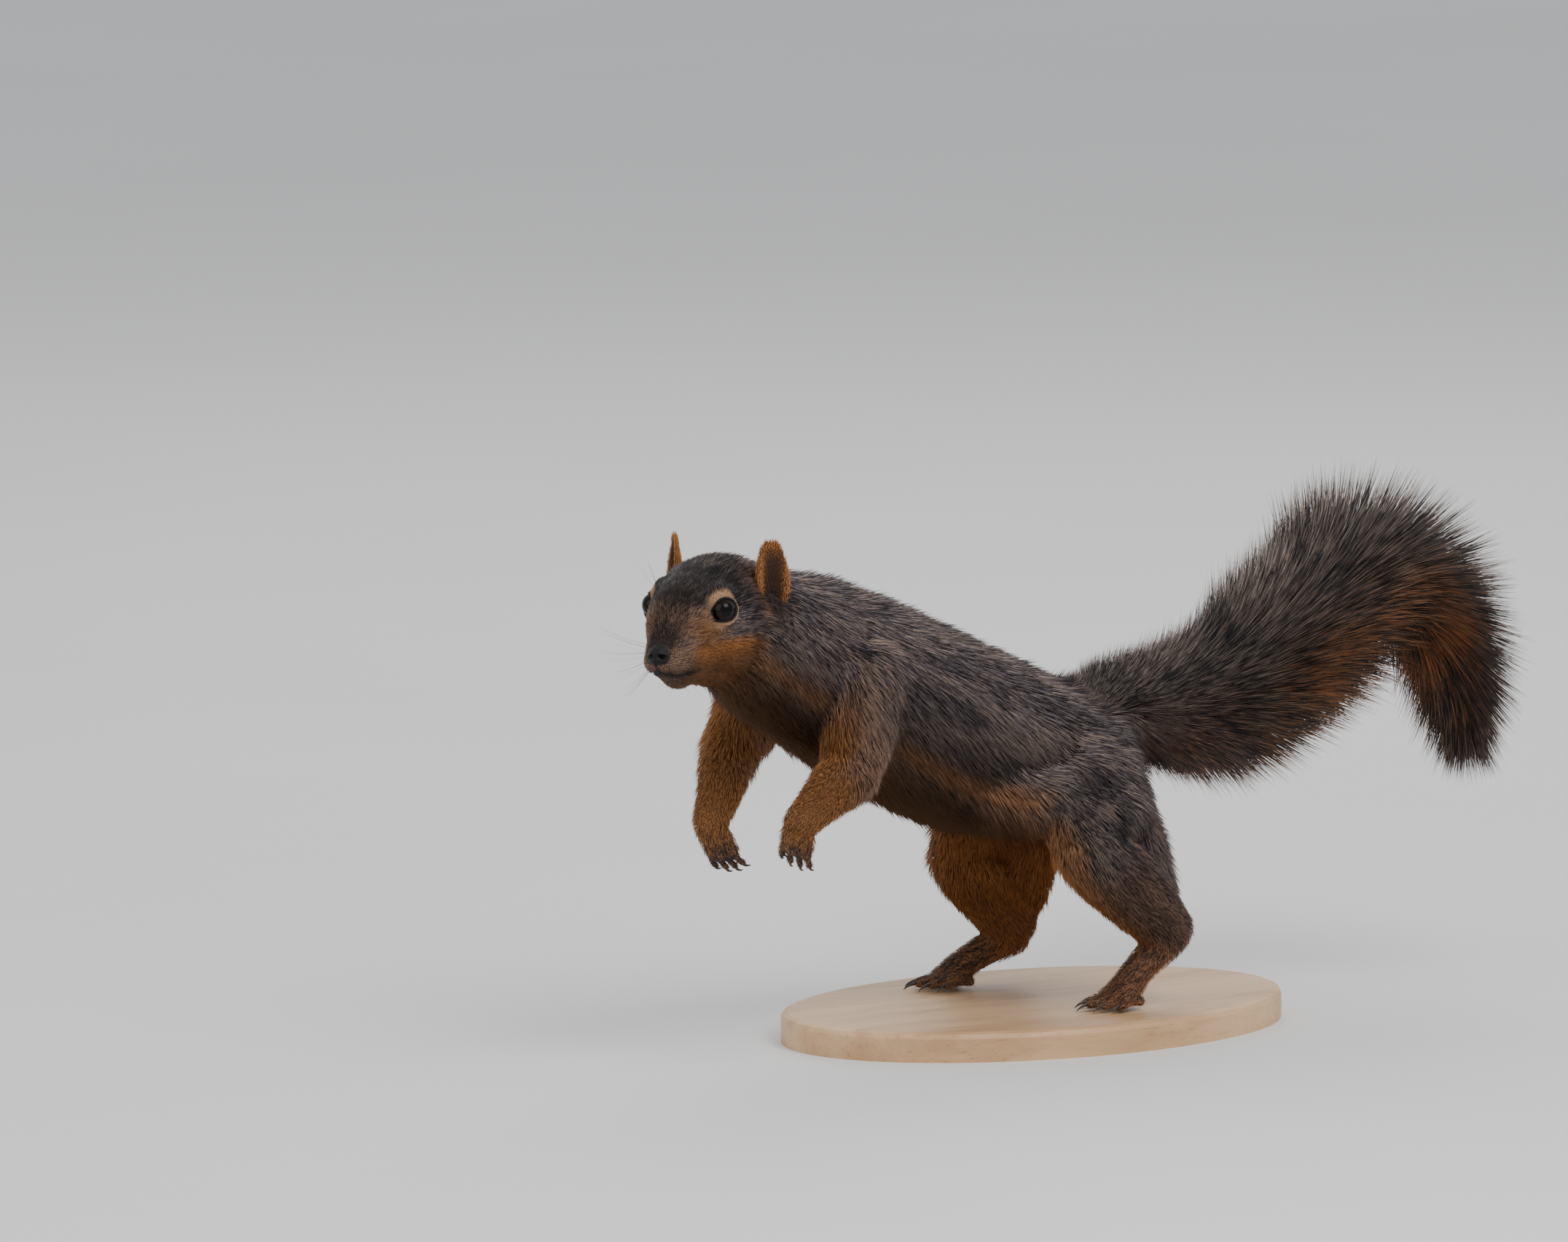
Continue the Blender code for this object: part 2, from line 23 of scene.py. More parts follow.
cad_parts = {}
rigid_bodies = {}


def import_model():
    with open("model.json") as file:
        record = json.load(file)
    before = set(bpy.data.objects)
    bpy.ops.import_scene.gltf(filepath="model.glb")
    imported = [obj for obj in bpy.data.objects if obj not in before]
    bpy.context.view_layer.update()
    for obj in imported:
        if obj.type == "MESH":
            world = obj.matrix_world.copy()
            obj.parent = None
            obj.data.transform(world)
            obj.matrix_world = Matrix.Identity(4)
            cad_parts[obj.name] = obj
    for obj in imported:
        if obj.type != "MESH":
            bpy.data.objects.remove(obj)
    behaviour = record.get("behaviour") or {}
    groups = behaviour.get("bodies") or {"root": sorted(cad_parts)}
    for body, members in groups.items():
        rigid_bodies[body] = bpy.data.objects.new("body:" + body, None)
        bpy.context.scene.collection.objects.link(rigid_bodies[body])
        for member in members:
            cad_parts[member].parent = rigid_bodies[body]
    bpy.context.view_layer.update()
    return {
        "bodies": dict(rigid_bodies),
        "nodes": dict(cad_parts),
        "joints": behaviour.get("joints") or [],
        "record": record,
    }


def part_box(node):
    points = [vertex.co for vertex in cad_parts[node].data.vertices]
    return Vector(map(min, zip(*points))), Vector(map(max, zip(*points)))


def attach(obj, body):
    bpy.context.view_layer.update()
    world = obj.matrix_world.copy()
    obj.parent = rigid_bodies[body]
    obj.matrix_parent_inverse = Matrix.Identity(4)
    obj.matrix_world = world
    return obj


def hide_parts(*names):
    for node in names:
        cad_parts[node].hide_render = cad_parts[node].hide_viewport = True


log = logging.getLogger("squirrel")

MM = 0.001
UP = Vector((0.0, 0.0, 1.0))

Mesh = bpy.types.Mesh
Plug = bpy.types.NodeSocket
Rows = np.ndarray  # numbers or vectors, one for each place
Triple = tuple[float, float, float]  # a colour, a place or a set of radii
Station = tuple[Vector, float, float, float]  # a ring's centre; half width, rise and fall in millimetres


class Side(Enum):
    """The animal's own sides."""

    LEFT = 1.0
    RIGHT = -1.0


def mm(*numbers: float) -> Vector:
    """A vector given in millimetres."""
    return Vector(numbers) * MM


def both_sides(left: Triple, right: Triple) -> Any:
    """A dataclass field that holds a place for each side, given in millimetres."""
    return field(default_factory=lambda: {Side.LEFT: mm(*left), Side.RIGHT: mm(*right)})


def ramp(low: float, high: float, value: Rows) -> Rows:
    """A smooth rise from 0 at low to 1 at high."""
    share = np.clip((value - low) / (high - low), 0.0, 1.0)
    return share * share * (3.0 - 2.0 * share)


def unit(rows: Rows) -> Rows:
    """Rows scaled to length one."""
    return rows / np.maximum(np.linalg.norm(rows, axis=1, keepdims=True), 1e-12)


def catmull_rom(values: Sequence[Sequence[float]], share: float) -> Rows:
    """The smooth curve through rows of values.

    Args:
        values: The rows that the curve passes through.
        share: The place on the curve, from 0 at the first row to 1 at the last.

    Returns:
        The row at that place.
    """
    rows = np.asarray(values, float)
    place = min(max(share, 0.0), 1.0) * (len(rows) - 1)
    i = min(int(place), len(rows) - 2)
    t = place - i
    before = rows[i - 1] if i > 0 else 2 * rows[0] - rows[1]
    after = rows[i + 2] if i + 2 < len(rows) else 2 * rows[-1] - rows[-2]
    a, b = rows[i], rows[i + 1]
    return 0.5 * (
        2 * a
        + (b - before) * t
        + (2 * before - 5 * a + 4 * b - after) * t**2
        + (3 * a - before - 3 * b + after) * t**3
    )


# ---- Meshes


def mesh_from(name: str, points: Iterable[Sequence[float]], faces: Iterable[Sequence[int]]) -> Mesh:
    """A mesh of points and faces with its normals facing out."""
    mesh = bpy.data.meshes.new(name)
    mesh.from_pydata([tuple(p) for p in points], [], [tuple(f) for f in faces])
    body = bmesh.new()
    body.from_mesh(mesh)
    bmesh.ops.recalc_face_normals(body, faces=body.faces)
    body.to_mesh(mesh)
    body.free()
    return mesh


def add_object(name: str, mesh: Mesh) -> bpy.types.Object:
    """Links a mesh into the scene as an object."""
    made = bpy.data.objects.new(name, mesh)
    bpy.context.scene.collection.objects.link(made)
    return made


def drop(obj: bpy.types.Object) -> None:
    """Removes an object."""
    bpy.data.objects.remove(obj, do_unlink=True)


def evaluated(obj: bpy.types.Object) -> Mesh:
    """The mesh of an object with its modifiers applied; the object itself is removed."""
    graph = bpy.context.evaluated_depsgraph_get()
    mesh = bpy.data.meshes.new_from_object(obj.evaluated_get(graph))
    drop(obj)
    return mesh


def triangles(mesh: Mesh) -> int:
    """How many triangles a mesh's faces make."""
    return sum(len(face.vertices) - 2 for face in mesh.polygons)


def joined(name: str, meshes: Iterable[Mesh]) -> Mesh:
    """Several meshes as one, without merging their points."""
    body = bmesh.new()
    for mesh in meshes:
        body.from_mesh(mesh)
    made = bpy.data.meshes.new(name)
    body.to_mesh(made)
    body.free()
    return made


def points_of(mesh: Mesh, key: str = "co") -> Rows:
    """The places of a mesh's points, or another vector of theirs."""
    flat = np.empty(len(mesh.vertices) * 3, np.float32)
    mesh.vertices.foreach_get(key, flat)
    return flat.reshape(-1, 3).astype(float)


def normals_of(mesh: Mesh) -> Rows:
    """The normals of a mesh's points."""
    return points_of(mesh, "normal")


def move_points(mesh: Mesh, places: Rows) -> None:
    """Sets the places of a mesh's points."""
    mesh.vertices.foreach_set("co", np.ascontiguousarray(places, np.float32).ravel())
    mesh.update()


def store(mesh: Mesh, name: str, values: Rows) -> None:
    """Stores one number or one vector for each point of a mesh, under a name."""
    kind, key = ("FLOAT_VECTOR", "vector") if values.ndim == 2 else ("FLOAT", "value")
    kept = mesh.attributes.get(name) or mesh.attributes.new(name, kind, "POINT")
    kept.data.foreach_set(key, np.ascontiguousarray(values, np.float32).ravel())


def edge_ends(mesh: Mesh) -> tuple[Rows, Rows]:
    """The two points of each of a mesh's edges."""
    ends = np.empty(len(mesh.edges) * 2, np.int32)
    mesh.edges.foreach_get("vertices", ends)
    first, second = ends.reshape(-1, 2).T
    return first, second


def spread(mesh: Mesh, values: Rows, rounds: int) -> Rows:
    """Averages values over neighbouring points.

    Args:
        mesh: The mesh whose edges join the neighbours.
        values: One row for each point.
        rounds: How many times to average.

    Returns:
        The evened-out rows.
    """
    a, b = edge_ends(mesh)
    rows = values.reshape(len(values), -1).copy()
    count = np.bincount(a, minlength=len(rows)) + np.bincount(b, minlength=len(rows)) + 1.0
    for _ in range(rounds):
        total = rows.copy()
        for k in range(rows.shape[1]):
            total[:, k] += np.bincount(a, rows[b, k], len(rows)) + np.bincount(b, rows[a, k], len(rows))
        rows = total / count[:, None]
    return rows.reshape(values.shape)


@dataclass(frozen=True)
class Loft:
    """A closed tube of egg-shaped rings through stations."""

    stations: Sequence[Station]
    up: Vector = UP
    squareness: float = 2.0
    sides: int = 32
    rings_per_span: int = 6

    def rows(self) -> Rows:
        """Smoothly interpolated rows of centre, half width, rise and fall, in metres."""
        kept = [(*c, w * MM, r * MM, f * MM) for c, w, r, f in self.stations]
        count = (len(kept) - 1) * self.rings_per_span + 1
        return np.array([catmull_rom(kept, k / (count - 1)) for k in range(count)])

    def mesh(self, name: str) -> Mesh:
        """The tube's mesh."""
        rows = self.rows()
        points: list[Vector] = []
        for k, row in enumerate(rows):
            centre = Vector(row[:3])
            ahead = Vector(rows[min(k + 1, len(rows) - 1)][:3]) - Vector(rows[max(k - 1, 0)][:3])
            side = ahead.cross(self.up).normalized()
            over = side.cross(ahead).normalized()
            for j in range(self.sides):
                angle = 2 * math.pi * j / self.sides
                c, s = math.cos(angle), math.sin(angle)
                c = math.copysign(abs(c) ** (2 / self.squareness), c)
                s = math.copysign(abs(s) ** (2 / self.squareness), s)
                points.append(centre + side * (row[3] * c) + over * ((row[4] if s > 0 else row[5]) * s))
        n = self.sides
        faces: list[tuple[int, ...]] = []
        for k in range(len(rows) - 1):
            for j in range(n):
                a, b = k * n + j, k * n + (j + 1) % n
                faces.append((a, b, b + n, a + n))
        faces.append(tuple(range(n)))
        faces.append(tuple(range(len(points) - n, len(points))))
        return mesh_from(name, points, faces)


def round_tube(name: str, places: Sequence[Vector], radii: Sequence[float],
               up: Vector = UP) -> Mesh:
    """A closed round tube through places, with radii in millimetres."""
    return Loft([(p, r, r, r) for p, r in zip(places, radii)], up, sides=20).mesh(name)


def unit_ball(sides: int, rings: int) -> bmesh.types.BMesh:
    """A ball of radius one with its poles on Z, its faces in the same order in every run."""
    body = bmesh.new()
    bmesh.ops.create_uvsphere(body, u_segments=sides, v_segments=rings, radius=1.0)
    body.verts.index_update()
    faces = sorted(tuple(vertex.index for vertex in face.verts) for face in body.faces)
    mesh = bpy.data.meshes.new("ball")
    mesh.from_pydata([tuple(vertex.co) for vertex in body.verts], [], faces)
    body.clear()
    body.from_mesh(mesh)
    bpy.data.meshes.remove(mesh)
    return body


def ellipsoid(name: str, centre: Vector, radii: Sequence[float], frame: Matrix | None = None,
              sides: int = 32) -> Mesh:
    """An ellipsoid with its radii, in millimetres, along the columns of a rotation."""
    body = unit_ball(sides, sides * 5 // 8)
    turn = frame.to_4x4() if frame else Matrix.Identity(4)
    body.transform(Matrix.Translation(centre) @ turn @ Matrix.Diagonal((*[r * MM for r in radii], 1.0)))
    bmesh.ops.recalc_face_normals(body, faces=body.faces)
    mesh = bpy.data.meshes.new(name)
    body.to_mesh(mesh)
    body.free()
    return mesh


# ---- Shaders

Value = Any  # a number, a colour tuple or a Socket


class Socket:
    """A node's output, with the sums that a surface needs written as Python expressions."""

    def __init__(self, graph: Graph, output: Plug | None) -> None:
        """Wraps one output of a graph."""
        self.graph, self.output = graph, output

    def _sum(self, operation: str, *values: Value) -> Socket:
        """A Math node on these values."""
        return self.graph.node("Math", {"operation": operation}, values)

    def __add__(self, other: Value) -> Socket:
        """self + other."""
        return self._sum("ADD", self, other)

    __radd__ = __add__

    def __mul__(self, other: Value) -> Socket:
        """self * other."""
        return self._sum("MULTIPLY", self, other)

    __rmul__ = __mul__

    def __sub__(self, other: Value) -> Socket:
        """self - other."""
        return self._sum("SUBTRACT", self, other)

    def __rsub__(self, other: Value) -> Socket:
        """other - self."""
        return self._sum("SUBTRACT", other, self)

    def clamped(self) -> Socket:
        """The value held between 0 and 1."""
        return self.graph.node("Clamp", {}, {"Value": self})

    def ramp(self, low: float, high: float) -> Socket:
        """A smooth rise from 0 at low to 1 at high."""
        return self.graph.node("MapRange", {"interpolation_type": "SMOOTHSTEP"},
                               {"Value": self, "From Min": low, "From Max": high})


class Graph:
    """A material's node tree with one method that adds any node."""

    def __init__(self, name: str) -> None:
        """Starts an empty tree in a new material."""
        self.material = bpy.data.materials.new(name)
        self.material.use_nodes = True
        self.tree = self.material.node_tree
        self.tree.nodes.clear()

    def node(self, kind: str, settings: dict[str, Any] | None = None,
             values: dict[str | int, Value] | Sequence[Value] = (), output: str | int = 0) -> Socket:
        """Adds a node.

        Args:
            kind: The shader node's type.
            settings: Its own settings, such as a Math node's operation.
            values: What goes in each input, by name, by number or in order.
            output: The output that is wanted.

        Returns:
            The wanted output.
        """
        made = self.tree.nodes.new(f"ShaderNode{kind}")
        for key, value in (settings or {}).items():
            setattr(made, key, value)
        pairs = values.items() if isinstance(values, dict) else enumerate(values)
        for key, value in pairs:
            target = made.inputs[key]
            if isinstance(value, Socket):
                self.tree.links.new(value.output, target)
            elif target.type == "RGBA" and len(value) == 3:
                target.default_value = (*value, 1.0)
            else:
                target.default_value = value
        return Socket(self, made.outputs[output] if len(made.outputs) else None)

    def attribute(self, name: str, output: str = "Fac") -> Socket:
        """A value stored on the mesh."""
        return self.node("Attribute", {"attribute_name": name}, output=output)

    def place(self) -> Socket:
        """The object's own coordinates."""
        return self.node("TexCoord", output="Object")

    def noise(self, at: Socket, scale: float, detail: float = 3.0, rough: float = 0.5) -> Socket:
        """A cloudy value round 0.5."""
        return self.node("TexNoise", {},
                         {"Vector": at, "Scale": scale, "Detail": detail, "Roughness": rough})

    def mix(self, share: Value, first: Value, second: Value) -> Socket:
        """A colour between two."""
        return self.node("Mix", {"data_type": "RGBA"}, {0: share, 6: first, 7: second}, 2)

    def stretched(self, at: Socket, scale: Triple) -> Socket:
        """Coordinates multiplied by a scale."""
        return self.node("VectorMath", {"operation": "MULTIPLY"}, (at, scale))

    def bump(self, height: Socket, strength: float, distance: float) -> Socket:
        """A normal bent by a height."""
        return self.node("Bump", {}, {"Strength": strength, "Distance": distance, "Height": height},
                         output="Normal")

    def surface(self, **inputs: Value) -> bpy.types.Material:
        """Ends the tree in a Principled surface, its inputs named with underscores for spaces."""
        values = {key.replace("_", " "): value for key, value in inputs.items()}
        shader = self.node("BsdfPrincipled", {}, values)
        self.node("OutputMaterial", {}, {"Surface": shader})
        return self.material


# ---- The animal's build


def head_axes(turn: float, pitch: float) -> Matrix:
    """Rotation whose columns are the head's left, forward and up.

    Args:
        turn: How far it faces to the animal's left of -Y.
        pitch: How far it looks below the level.

    Returns:
        The rotation.
    """
    left = Vector((math.cos(turn), math.sin(turn), 0))
    level = Vector((math.sin(turn), -math.cos(turn), 0))
    forward = level * math.cos(pitch) - UP * math.sin(pitch)
    return Matrix((left, forward, forward.cross(left))).transposed()


def frame_along(forward: Vector, up_hint: Vector) -> Matrix:
    """Rotation whose columns are left, forward and up, from a heading and a rough up."""
    forward = forward.normalized()
    left = up_hint.cross(forward).normalized()
    return Matrix((left, forward, forward.cross(left))).transposed()


@dataclass(frozen=True)
class Stance:
    """Named places of the body, above the ground between the hind feet."""

    head: Vector = field(default_factory=lambda: mm(38.6, -203, 176))
    axes: Matrix = field(default_factory=lambda: head_axes(math.radians(32), math.radians(10)))
    hip: dict[Side, Vector] = both_sides((19, -13, 97), (-19, -14, 97))
    knee: dict[Side, Vector] = both_sides((44, -27, 72), (-41, -33, 60))
    hock: dict[Side, Vector] = both_sides((36, 21, 28), (-35, -9, 21))
    ball: dict[Side, Vector] = both_sides((38, -3, 7.2), (-37, -37, 7.2))
    shoulder: dict[Side, Vector] = both_sides((30, -121, 147), (-6, -133, 146))
    elbow: dict[Side, Vector] = both_sides((38, -128, 107), (-12, -154, 112))
    wrist: dict[Side, Vector] = both_sides((55, -162, 89), (5, -174, 83))
    knuckle: dict[Side, Vector] = both_sides((51, -161.5, 79), (4, -168, 71))
    eye: Triple = (14.5, -0.7, -0.3)  # side, ahead and up in the head, in millimetres
    eye_facing: Triple = (0.74, 0.60, 0.24)
    eye_radius: float = 5.6 * MM

    def in_head(self, side: float, ahead: float, up: float) -> Vector:
        """A place in the head, in millimetres from the point between the eyes."""
        return self.head + self.axes @ mm(side, ahead, up)

    def eye_centre(self, side: Side) -> Vector:
        """The middle of an eyeball."""
        return self.in_head(self.eye[0] * side.value, self.eye[1], self.eye[2])

    def eye_axis(self, side: Side) -> Vector:
        """The way that an eye faces."""
        across, ahead, up = self.eye_facing
        return (self.axes @ Vector((across * side.value, ahead, up))).normalized()

    def head_coordinates(self, places: Rows) -> Rows:
        """Places as side, ahead and up of the point between the eyes, in millimetres."""
        return (places - np.array(self.head)) @ np.array(self.axes) / MM

    def shift(self) -> Vector:
        """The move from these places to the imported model's."""
        low, high = (Vector(corner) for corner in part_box("left_eye"))
        return (low + high) / 2 - self.eye_centre(Side.LEFT)


@dataclass(frozen=True)
class Tail:
    """The route and the outline of the tail, and its slim core under the long hair."""

    stations: tuple[Station, ...] = (
        (mm(0, -8, 103), 12, 22, 10),
        (mm(0, 12, 111), 19, 25, 18),
        (mm(-1, 38, 113), 25, 28, 31),
        (mm(-3, 64, 118), 29, 32, 38),
        (mm(-5, 88, 130), 31, 34, 40),
        (mm(-6, 110, 144), 32, 36, 38),
        (mm(-6, 128, 157), 31, 35, 36),
        (mm(-6, 145, 159), 30, 32, 33),
        (mm(-5, 160, 152), 27, 27, 30),
        (mm(-4, 173, 138), 23, 21, 25),
        (mm(-3, 182, 118), 18, 15, 20),
        (mm(-2, 186, 97), 12, 10, 12),
        (mm(-1, 189, 80), 4, 4, 4),
    )
    bush: float = 1.16  # how far the hair fills the outline
    core_root: float = 12.5  # the core's half widths, in millimetres
    core_tip: float = 2.4
    core_flare: float = 2.2
    core_end: float = 0.93  # where it ends, as a share of the route
    core_stations: int = 22
    length: float = 0.262
    samples: int = 160

    def core(self) -> Mesh:
        """The core's tube, from inside the rump to near the tip."""
        rows: list[Station] = []
        for k in range(self.core_stations):
            share = self.core_end * k / (self.core_stations - 1)
            place = Vector(catmull_rom([s[0] for s in self.stations], share))
            width = self.core_tip + (self.core_root - self.core_tip) * (1 - share / self.core_end) ** 3.0
            width += self.core_flare * (1 - share)
            rows.append((place, width, width, width))
        return Loft(rows, rings_per_span=3, sides=20).mesh("tail_core")

    def route(self) -> dict[str, Rows]:
        """Places, headings and outline along the tail, one row for each sample."""
        shares = np.linspace(0.0, 1.0, self.samples)
        rows = np.array([catmull_rom([(*c, w, r, f) for c, w, r, f in self.stations], s) for s in shares])
        heading = unit(np.gradient(rows[:, :3], axis=0))
        side = unit(np.cross(heading, np.array([0.0, 0.0, 1.0])))
        return {"share": shares, "place": rows[:, :3], "heading": heading, "side": side,
                "over": np.cross(side, heading), "reach": rows[:, 3:] * MM}


@dataclass
class Head:
    """The head's own forms: skull, cheeks, muzzle, lids, nose and mouth.

    Places are side, ahead and up of the point between the eyes, in millimetres, on the left.
    """

    stance: Stance
    # The skull's rings: how far ahead, top, bottom, half width and the coat's depth, in millimetres.
    sections: tuple[tuple[float, float, float, float, float], ...] = (
        (28.6, -9.6, -14.4, 2.7, 0.0),
        (26.8, -7.4, -17.8, 5.3, 0.1),
        (22.0, -3.3, -22.5, 8.3, 0.3),
        (14.0, 2.8, -27.0, 11.4, 0.5),
        (7.0, 8.2, -28.0, 14.8, 0.6),
        (0.0, 12.2, -27.5, 17.8, 0.8),
        (-8.0, 13.8, -27.0, 20.5, 1.0),
        (-17.0, 14.3, -26.5, 22.6, 1.3),
        (-26.0, 13.0, -26.0, 21.8, 1.7),
        (-35.0, 9.5, -24.0, 19.5, 2.0),
        (-43.0, 2.0, -18.0, 13.0, 2.0),
    )
    nose: Triple = (0.0, 27.4, -11.4)
    nose_reach: float = 5.3  # of its bare skin, in millimetres
    nostril: Triple = (2.5, 29.6, -11.2)
    mouth: tuple[Triple, ...] = (
        (0.0, 27.6, -17.2), (2.2, 26.6, -18.6), (4.8, 23.8, -19.6), (7.2, 19.8, -20.6), (9.4, 15.4, -21.0),
        (10.4, 13.4, -21.2))
    slant: Triple = (-0.5, 0.85, -0.30)  # the way from the back corner of the eye to its front corner
    wide: tuple[float, float] = (1.42, 1.02)  # radians from the opening's middle to its front and back
    tall: tuple[float, float] = (0.84, 0.80)  # and to its upper and lower edges
    pointed: tuple[float, float] = (1.40, 1.95)  # how round the two corners are, where 2 is an ellipse
    lid: float = 0.55 * MM
    sunk: float = 1.5 * MM
    lid_reach: float = 1.9  # where the lid fades out, when the opening's edge is 1
    pit: Triple = (20.0, -27.3, -4.2)  # the hollow before the ear's root
    pit_height: float = 2.0  # as a share of its width
    pit_depth: float = 5.4  # in millimetres

    def forms(self) -> list[Mesh]:
        """The overlapping forms that make the head's bulk."""
        at, axes = self.stance.in_head, self.stance.axes
        stations: list[Station] = []
        for ahead, top, bottom, width, depth in self.sections:
            middle = top * 0.45 + bottom * 0.55
            rise, fall = top - middle - depth, middle - bottom - depth
            stations.append((at(0, ahead, middle), width - depth, rise, fall))
        made = [Loft(stations, axes.col[2], 2.15, sides=40).mesh("skull")]
        for side in Side:
            s = side.value
            made += [
                ellipsoid("cheek", at(11.4 * s, -12, -14), (10.6, 16.4, 10.8), axes),
                ellipsoid("whisker_pad", at(4.2 * s, 20, -15.4), (4.8, 7.2, 5.4), axes),
                ellipsoid("brow", at(12.7 * s, -2, 4.6), (5.2, 8.2, 4.8), axes),
            ]
        made.append(ellipsoid("chin", at(0, 12, -24), (6.0, 7.8, 4.2), axes))
        made.append(ellipsoid("throat", at(0, -12, -22), (14.0, 17.0, 11.0), axes))
        made.append(ellipsoid("nose", at(0, 26, -11.2), (4.8, 4.1, 4.0), axes))
        return made

    def near(self, places: Rows, eye: float, nose: float) -> Rows:
        """Whether places lie within so many millimetres of an eye or of the nose."""
        found = np.linalg.norm(places - np.array(self.stance.in_head(0, 24, -14)), axis=1) < nose * MM
        for side in Side:
            found |= np.linalg.norm(places - np.array(self.stance.eye_centre(side)), axis=1) < eye * MM
        return found

    def opening(self, places: Rows, side: Side) -> tuple[Rows, Rows, Rows]:
        """How places lie round an eye.

        Args:
            places: The places.
            side: Which eye.

        Returns:
            The distance from the eyeball's middle, the almond-shaped distance from the middle of the
            opening, 1 on its edge, and the way over the lid from its edge, in millimetres.
        """
        centre, axis = np.array(self.stance.eye_centre(side)), np.array(self.stance.eye_axis(side))
        away = places - centre
        distance = np.linalg.norm(away, axis=1)
        ray = away / distance[:, None]
        across, ahead, up = self.slant
        lean = np.array((self.stance.axes @ Vector((across * side.value, ahead, up))).normalized())
        lean = unit((lean - axis * lean.dot(axis))[None])[0]
        high = np.cross(axis, lean) * -side.value
        if high[2] < 0:
            high = -high
        angle = np.arccos(np.clip(ray @ axis, -1, 1))
        a, b = ray @ lean, ray @ high
        flat = np.hypot(a, b) + 1e-9
        along, above = a / flat, b / flat
        wide, point = np.where(along > 0, *self.wide), np.where(along > 0, *self.pointed)
        tall = np.where(above > 0, *self.tall)
        edge = (np.abs(along / wide) ** point + np.abs(above / tall) ** point) ** (-1 / point)
        radius = self.stance.eye_radius
        rim = (angle - edge) * radius / MM + np.maximum(distance - radius - 0.6 * MM, 0) * 0.6 / MM
        return distance, angle / edge, rim

    def shape_eyes(self, places: Rows) -> Rows:
        """Sinks the openings of the eyes under the eyeballs and raises the lids round them."""
        radius = self.stance.eye_radius
        for side in Side:
            centre = np.array(self.stance.eye_centre(side))
            distance, ring, _ = self.opening(places, side)
            ray = (places - centre) / distance[:, None]
            lid, sunk = radius + self.lid, radius - self.sunk
            wanted = np.where(ring < 1.0, sunk + (lid - sunk) * ramp(0.90, 1.0, ring), lid)
            hold = 1.0 - ramp(1.12, self.lid_reach, ring)
            near = distance < radius + 4.5 * MM
            mixed = distance + (wanted - distance) * hold
            mixed = np.where((ring > 1.0) & (distance < lid), np.maximum(mixed, lid), mixed)
            places = np.where(near[:, None], centre + ray * mixed[:, None], places)
        return places

    def mouth_distance(self, places: Rows) -> Rows:
        """The distance from the line of the lips, in millimetres."""
        local = self.stance.head_coordinates(places)
        best = np.full(len(places), 1e3)
        for side in Side:
            rows = np.array(self.mouth) * (side.value, 1.0, 1.0)
            for a, b in zip(rows[:-1], rows[1:]):
                share = np.clip((local - a) @ (b - a) / ((b - a) @ (b - a)), 0, 1)
                best = np.minimum(best, np.linalg.norm(local - a - share[:, None] * (b - a), axis=1))
        return best

    def shape_muzzle(self, places: Rows, normals: Rows) -> Rows:
        """Sinks the nostrils, the groove under the nose and the line of the lips."""
        local = self.stance.head_coordinates(places)
        sink = 0.75 * np.exp(-((self.mouth_distance(places) / 0.55) ** 2))
        groove = np.exp(-((local[:, 0] / 0.4) ** 2)) * ramp(-17.8, -16.5, local[:, 2])
        groove *= (1 - ramp(-13.2, -12.0, local[:, 2])) * ramp(23, 25, local[:, 1])
        sink += 0.5 * groove
        front = ramp(24.5, 26.5, local[:, 1])
        for side in Side:
            aside = local[:, 0] * side.value - self.nostril[0]
            x, z = aside / 1.25, (local[:, 2] - self.nostril[2] + 0.35 * aside) / 0.8
            sink += 1.7 * np.exp(-(x**2 + z**2) ** 1.5) * front
            rim = np.exp(-((np.hypot(x, z) - 1.7) / 0.5) ** 2) * front
            sink -= 0.22 * rim
        sink += self.pit_depth * self.ear_pit(places, 5.0)
        return places - normals * (sink * MM)[:, None]

    def ear_pit(self, places: Rows, reach: float) -> Rows:
        """1 in the hollow in front of each ear's root, fading to 0 over so many millimetres."""
        local = self.stance.head_coordinates(places)
        side, ahead, up = self.pit
        x, y, z = np.abs(local[:, 0]) - side, local[:, 1] - ahead, (local[:, 2] - up) / self.pit_height
        return np.exp(-((x**2 + y**2 + z**2) / reach**2))

    def nose_mask(self, places: Rows) -> Rows:
        """1 on the bare skin of the nose, 0 off it."""
        local = self.stance.head_coordinates(places) - np.array(self.nose)
        span = np.sqrt((local[:, 0] / 1.0) ** 2 + (local[:, 1] / 0.85) ** 2 + (local[:, 2] / 0.84) ** 2)
        low = 1 - ramp(0.35, 0.9, np.abs(local[:, 0])) * (local[:, 2] < -3.0)
        return (1 - ramp(self.nose_reach - 0.5, self.nose_reach + 0.3, span)) * low


